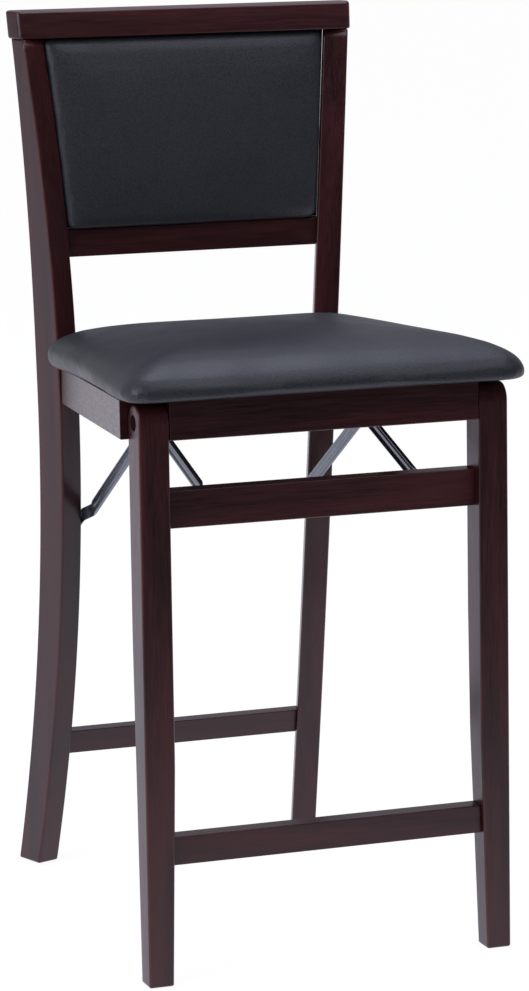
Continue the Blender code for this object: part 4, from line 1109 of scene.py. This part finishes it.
class STOOL_OT_steelwork(bpy.types.Operator):
    """Steelwork: the coat of the links and lugs, and the plated bolts, pins and rivets"""

    bl_idname = "stool.steelwork"
    bl_label = "Steelwork"

    def execute(self, context):
        give_material(on_both_sides(("seat_link_", "link_lug_", "stretcher_lug_", "link_bracket_")),
                      node_material("gunmetal_coated_steel", gunmetal_coat))
        give_material(on_both_sides(("rear_rivet_", "front_rivet_", "link_seat_pin_", "link_back_pin_",
                                     "stretcher_pin_", "pivot_bolt_", "brace_screw_")),
                      node_material("zinc_plated_steel", zinc_plate))
        return {"FINISHED"}


class STOOL_OT_hidden_wood(bpy.types.Operator):
    """Hidden wood: the boards, the batten, the corner blocks and the dowels"""

    bl_idname = "stool.hidden_wood"
    bl_label = "Hidden wood"

    def execute(self, context):
        give_material(("seat_board", "back_pad_board"),
                      node_material("espresso_stained_plywood", stained_plywood))
        give_material(("seat_batten", "pivot_block_left", "pivot_block_right"),
                      node_material("espresso_stained_block", stained_block))
        give_material(on_both_sides(("stretcher_dowel_", "footrest_dowel_", "back_rail_dowel_",
                                     "rear_stretcher_dowel_", "cross_rail_dowel_")),
                      node_material("bare_beech", bare_beech))
        return {"FINISHED"}


class STOOL_OT_stage(bpy.types.Operator):
    """Stage: a plain pale floor, soft lamps, plain surroundings and the camera"""

    bl_idname = "stool.stage"
    bl_label = "Stage"

    def execute(self, context):
        half, low = 14.0, -0.0005
        corners = np.array([(-half, -half, low), (half, -half, low), (half, half, low), (-half, half, low)])
        floor = new_piece("floor", corners, np.array([(0, 1, 2, 3)]), smooth=False)
        floor.data.materials.append(node_material("pale_studio_floor", self.floor_shader))
        self.surroundings(context)
        self.lamps(context)
        self.camera(context)
        return {"FINISHED"}

    def floor_shader(self, tree):
        """Matt painted boards: a faint mottle about 0.3 m across, nearly white to camera and gloss."""
        here = add_node(tree, "TexCoord")
        mottle = add_node(tree, "TexNoise", {"Vector": here.outputs["Object"], "Scale": 3.0})
        pale = bpy.context.scene.stool_finishes.floor
        shade = add_node(tree, "Mix", {
            0: mottle.outputs["Fac"], 6: tuple(pale), 7: dimmed(pale, 0.985)}, data_type="RGBA")
        matt = add_node(tree, "BsdfDiffuse", {"Color": shade.outputs[2]})
        path = add_node(tree, "LightPath")
        white = add_node(tree, "Emission", {"Color": (1.0, 1.0, 1.0, 1.0), "Strength": 1.08})
        share = add_node(tree, "Math", {0: path.outputs["Is Camera Ray"], 1: 0.86},
                         operation="MULTIPLY")
        seen = add_node(tree, "MixShader", {
            0: share.outputs[0], 1: matt.outputs[0], 2: white.outputs[0]})
        # The sheet ends in front of the stool: gloss sees it white behind and fading to dark in front
        split = add_node(tree, "SeparateXYZ", {0: here.outputs["Object"]})
        near = add_node(tree, "MapRange", {
            "Value": split.outputs["Y"], "From Min": -2.4, "From Max": -0.5,
            "To Min": 0.03, "To Max": 1.12}, interpolation_type="SMOOTHSTEP")
        sheet = add_node(tree, "Emission", {
            "Color": linear(SHEET_WHITE), "Strength": near.outputs[0]})
        return add_node(tree, "MixShader", {
            0: self.reflected(tree, path), 1: seen.outputs[0], 2: sheet.outputs[0]})

    def reflected(self, tree, path):
        """1 where a glossy or transmission ray looks at the background."""
        either = add_node(tree, "Math", {
            0: path.outputs["Is Glossy Ray"], 1: path.outputs["Is Transmission Ray"]}, operation="MAXIMUM")
        return either.outputs[0]

    def surroundings(self, context):
        """Plain surroundings: white to the camera, and to gloss a white sheet behind, dark in front."""
        world = bpy.data.worlds.new("studio")
        context.scene.world = world
        world.use_nodes = True
        tree = world.node_tree
        tree.nodes.clear()
        path = add_node(tree, "LightPath")
        plain = add_node(tree, "Background", {"Color": linear("#f4f6fa"), "Strength": 0.50})
        white = add_node(tree, "Background", {"Color": (1.0, 1.0, 1.0, 1.0), "Strength": 1.0})
        ray = add_node(tree, "TexCoord")
        split = add_node(tree, "SeparateXYZ", {0: ray.outputs["Generated"]})
        behind = add_node(tree, "MapRange", {
            "Value": split.outputs["Y"], "From Min": -0.10, "From Max": 0.45,
            "To Min": 0.03, "To Max": 0.42}, interpolation_type="SMOOTHSTEP")
        sheet = add_node(tree, "Background", {
            "Color": linear(SHEET_WHITE), "Strength": behind.outputs[0]})
        lit = add_node(tree, "MixShader", {
            0: path.outputs["Is Camera Ray"], 1: plain.outputs[0], 2: white.outputs[0]})
        mixed = add_node(tree, "MixShader", {
            0: self.reflected(tree, path), 1: lit.outputs[0], 2: sheet.outputs[0]})
        add_node(tree, "OutputWorld", {"Surface": mixed.outputs[0]})

    def lamps(self, context):
        """Large soft lamps to the left, above and in front, turned to the stool's middle."""
        for name, place, wide, power, colour in (
                ("lamp_left", (-2.6, -0.8, 1.9), 1.8, 44.0, "#e9efff"),
                ("lamp_top", (0.3, 0.1, 2.6), 1.6, 22.0, "#e2e8ff"),
                ("lamp_front", (0.9, -1.7, 3.0), 1.4, 13.0, "#eef1ff")):
            data = bpy.data.lights.new(name, "AREA")
            data.shape = "SQUARE"
            data.size = wide
            data.energy = power
            data.color = linear(colour)[:3]
            lamp = bpy.data.objects.new(name, data)
            lamp.location = place
            aim = Vector(STOOL_MIDDLE) - Vector(place)
            lamp.rotation_euler = aim.to_track_quat("-Z", "Y").to_euler()
            context.scene.collection.objects.link(lamp)

    def camera(self, context):
        """The photograph's place and lens, solved from the stool's level and upright edges."""
        azimuth, elevation = math.radians(-21.0687), math.radians(11.3315)
        back = Vector((math.sin(azimuth) * math.cos(elevation), -math.cos(azimuth) * math.cos(elevation),
                       math.sin(elevation)))
        data = bpy.data.cameras.new("camera")
        data.lens = 151.53
        data.sensor_width = 36.0
        camera = bpy.data.objects.new("camera", data)
        camera.location = (-1.5254, -4.01635, 1.3029)
        camera.rotation_mode = "QUATERNION"
        camera.rotation_quaternion = (-back).to_track_quat("-Z", "Y")
        context.scene.collection.objects.link(camera)
        context.scene.camera = camera


OPERATORS = (STOOL_OT_stage, STOOL_OT_front_legs, STOOL_OT_front_rails, STOOL_OT_back_legs,
             STOOL_OT_back_rails, STOOL_OT_seat_frame, STOOL_OT_seat_cushion, STOOL_OT_back_pad,
             STOOL_OT_braces, STOOL_OT_steelwork, STOOL_OT_hidden_wood)


class STOOL_PT_panel(bpy.types.Panel):
    """Lists the stool's pieces, sizes and colours"""

    bl_idname = "STOOL_PT_panel"
    bl_label = "Folding counter stool"
    bl_space_type = "VIEW_3D"
    bl_region_type = "UI"
    bl_category = "Stool"

    def draw(self, context):
        column = self.layout.column(align=True)
        for operator in OPERATORS:
            column.operator(operator.bl_idname)
        for group in (context.scene.stool_sizes, context.scene.stool_finishes):
            box = self.layout.box()
            for name in group.__annotations__:
                box.prop(group, name)


CLASSES = (StoolSizes, StoolFinishes) + OPERATORS + (STOOL_PT_panel,)


def register():
    for item in CLASSES:
        bpy.utils.register_class(item)
    bpy.types.Scene.stool_sizes = bpy.props.PointerProperty(type=StoolSizes)
    bpy.types.Scene.stool_finishes = bpy.props.PointerProperty(type=StoolFinishes)


def unregister():
    del bpy.types.Scene.stool_finishes
    del bpy.types.Scene.stool_sizes
    for item in reversed(CLASSES):
        bpy.utils.unregister_class(item)


def main():
    register()
    bpy.context.scene.view_settings.view_transform = "Standard"
    for operator in OPERATORS:
        group, name = operator.bl_idname.split(".")
        getattr(getattr(bpy.ops, group), name)()


if __name__ == "__main__":
    main()
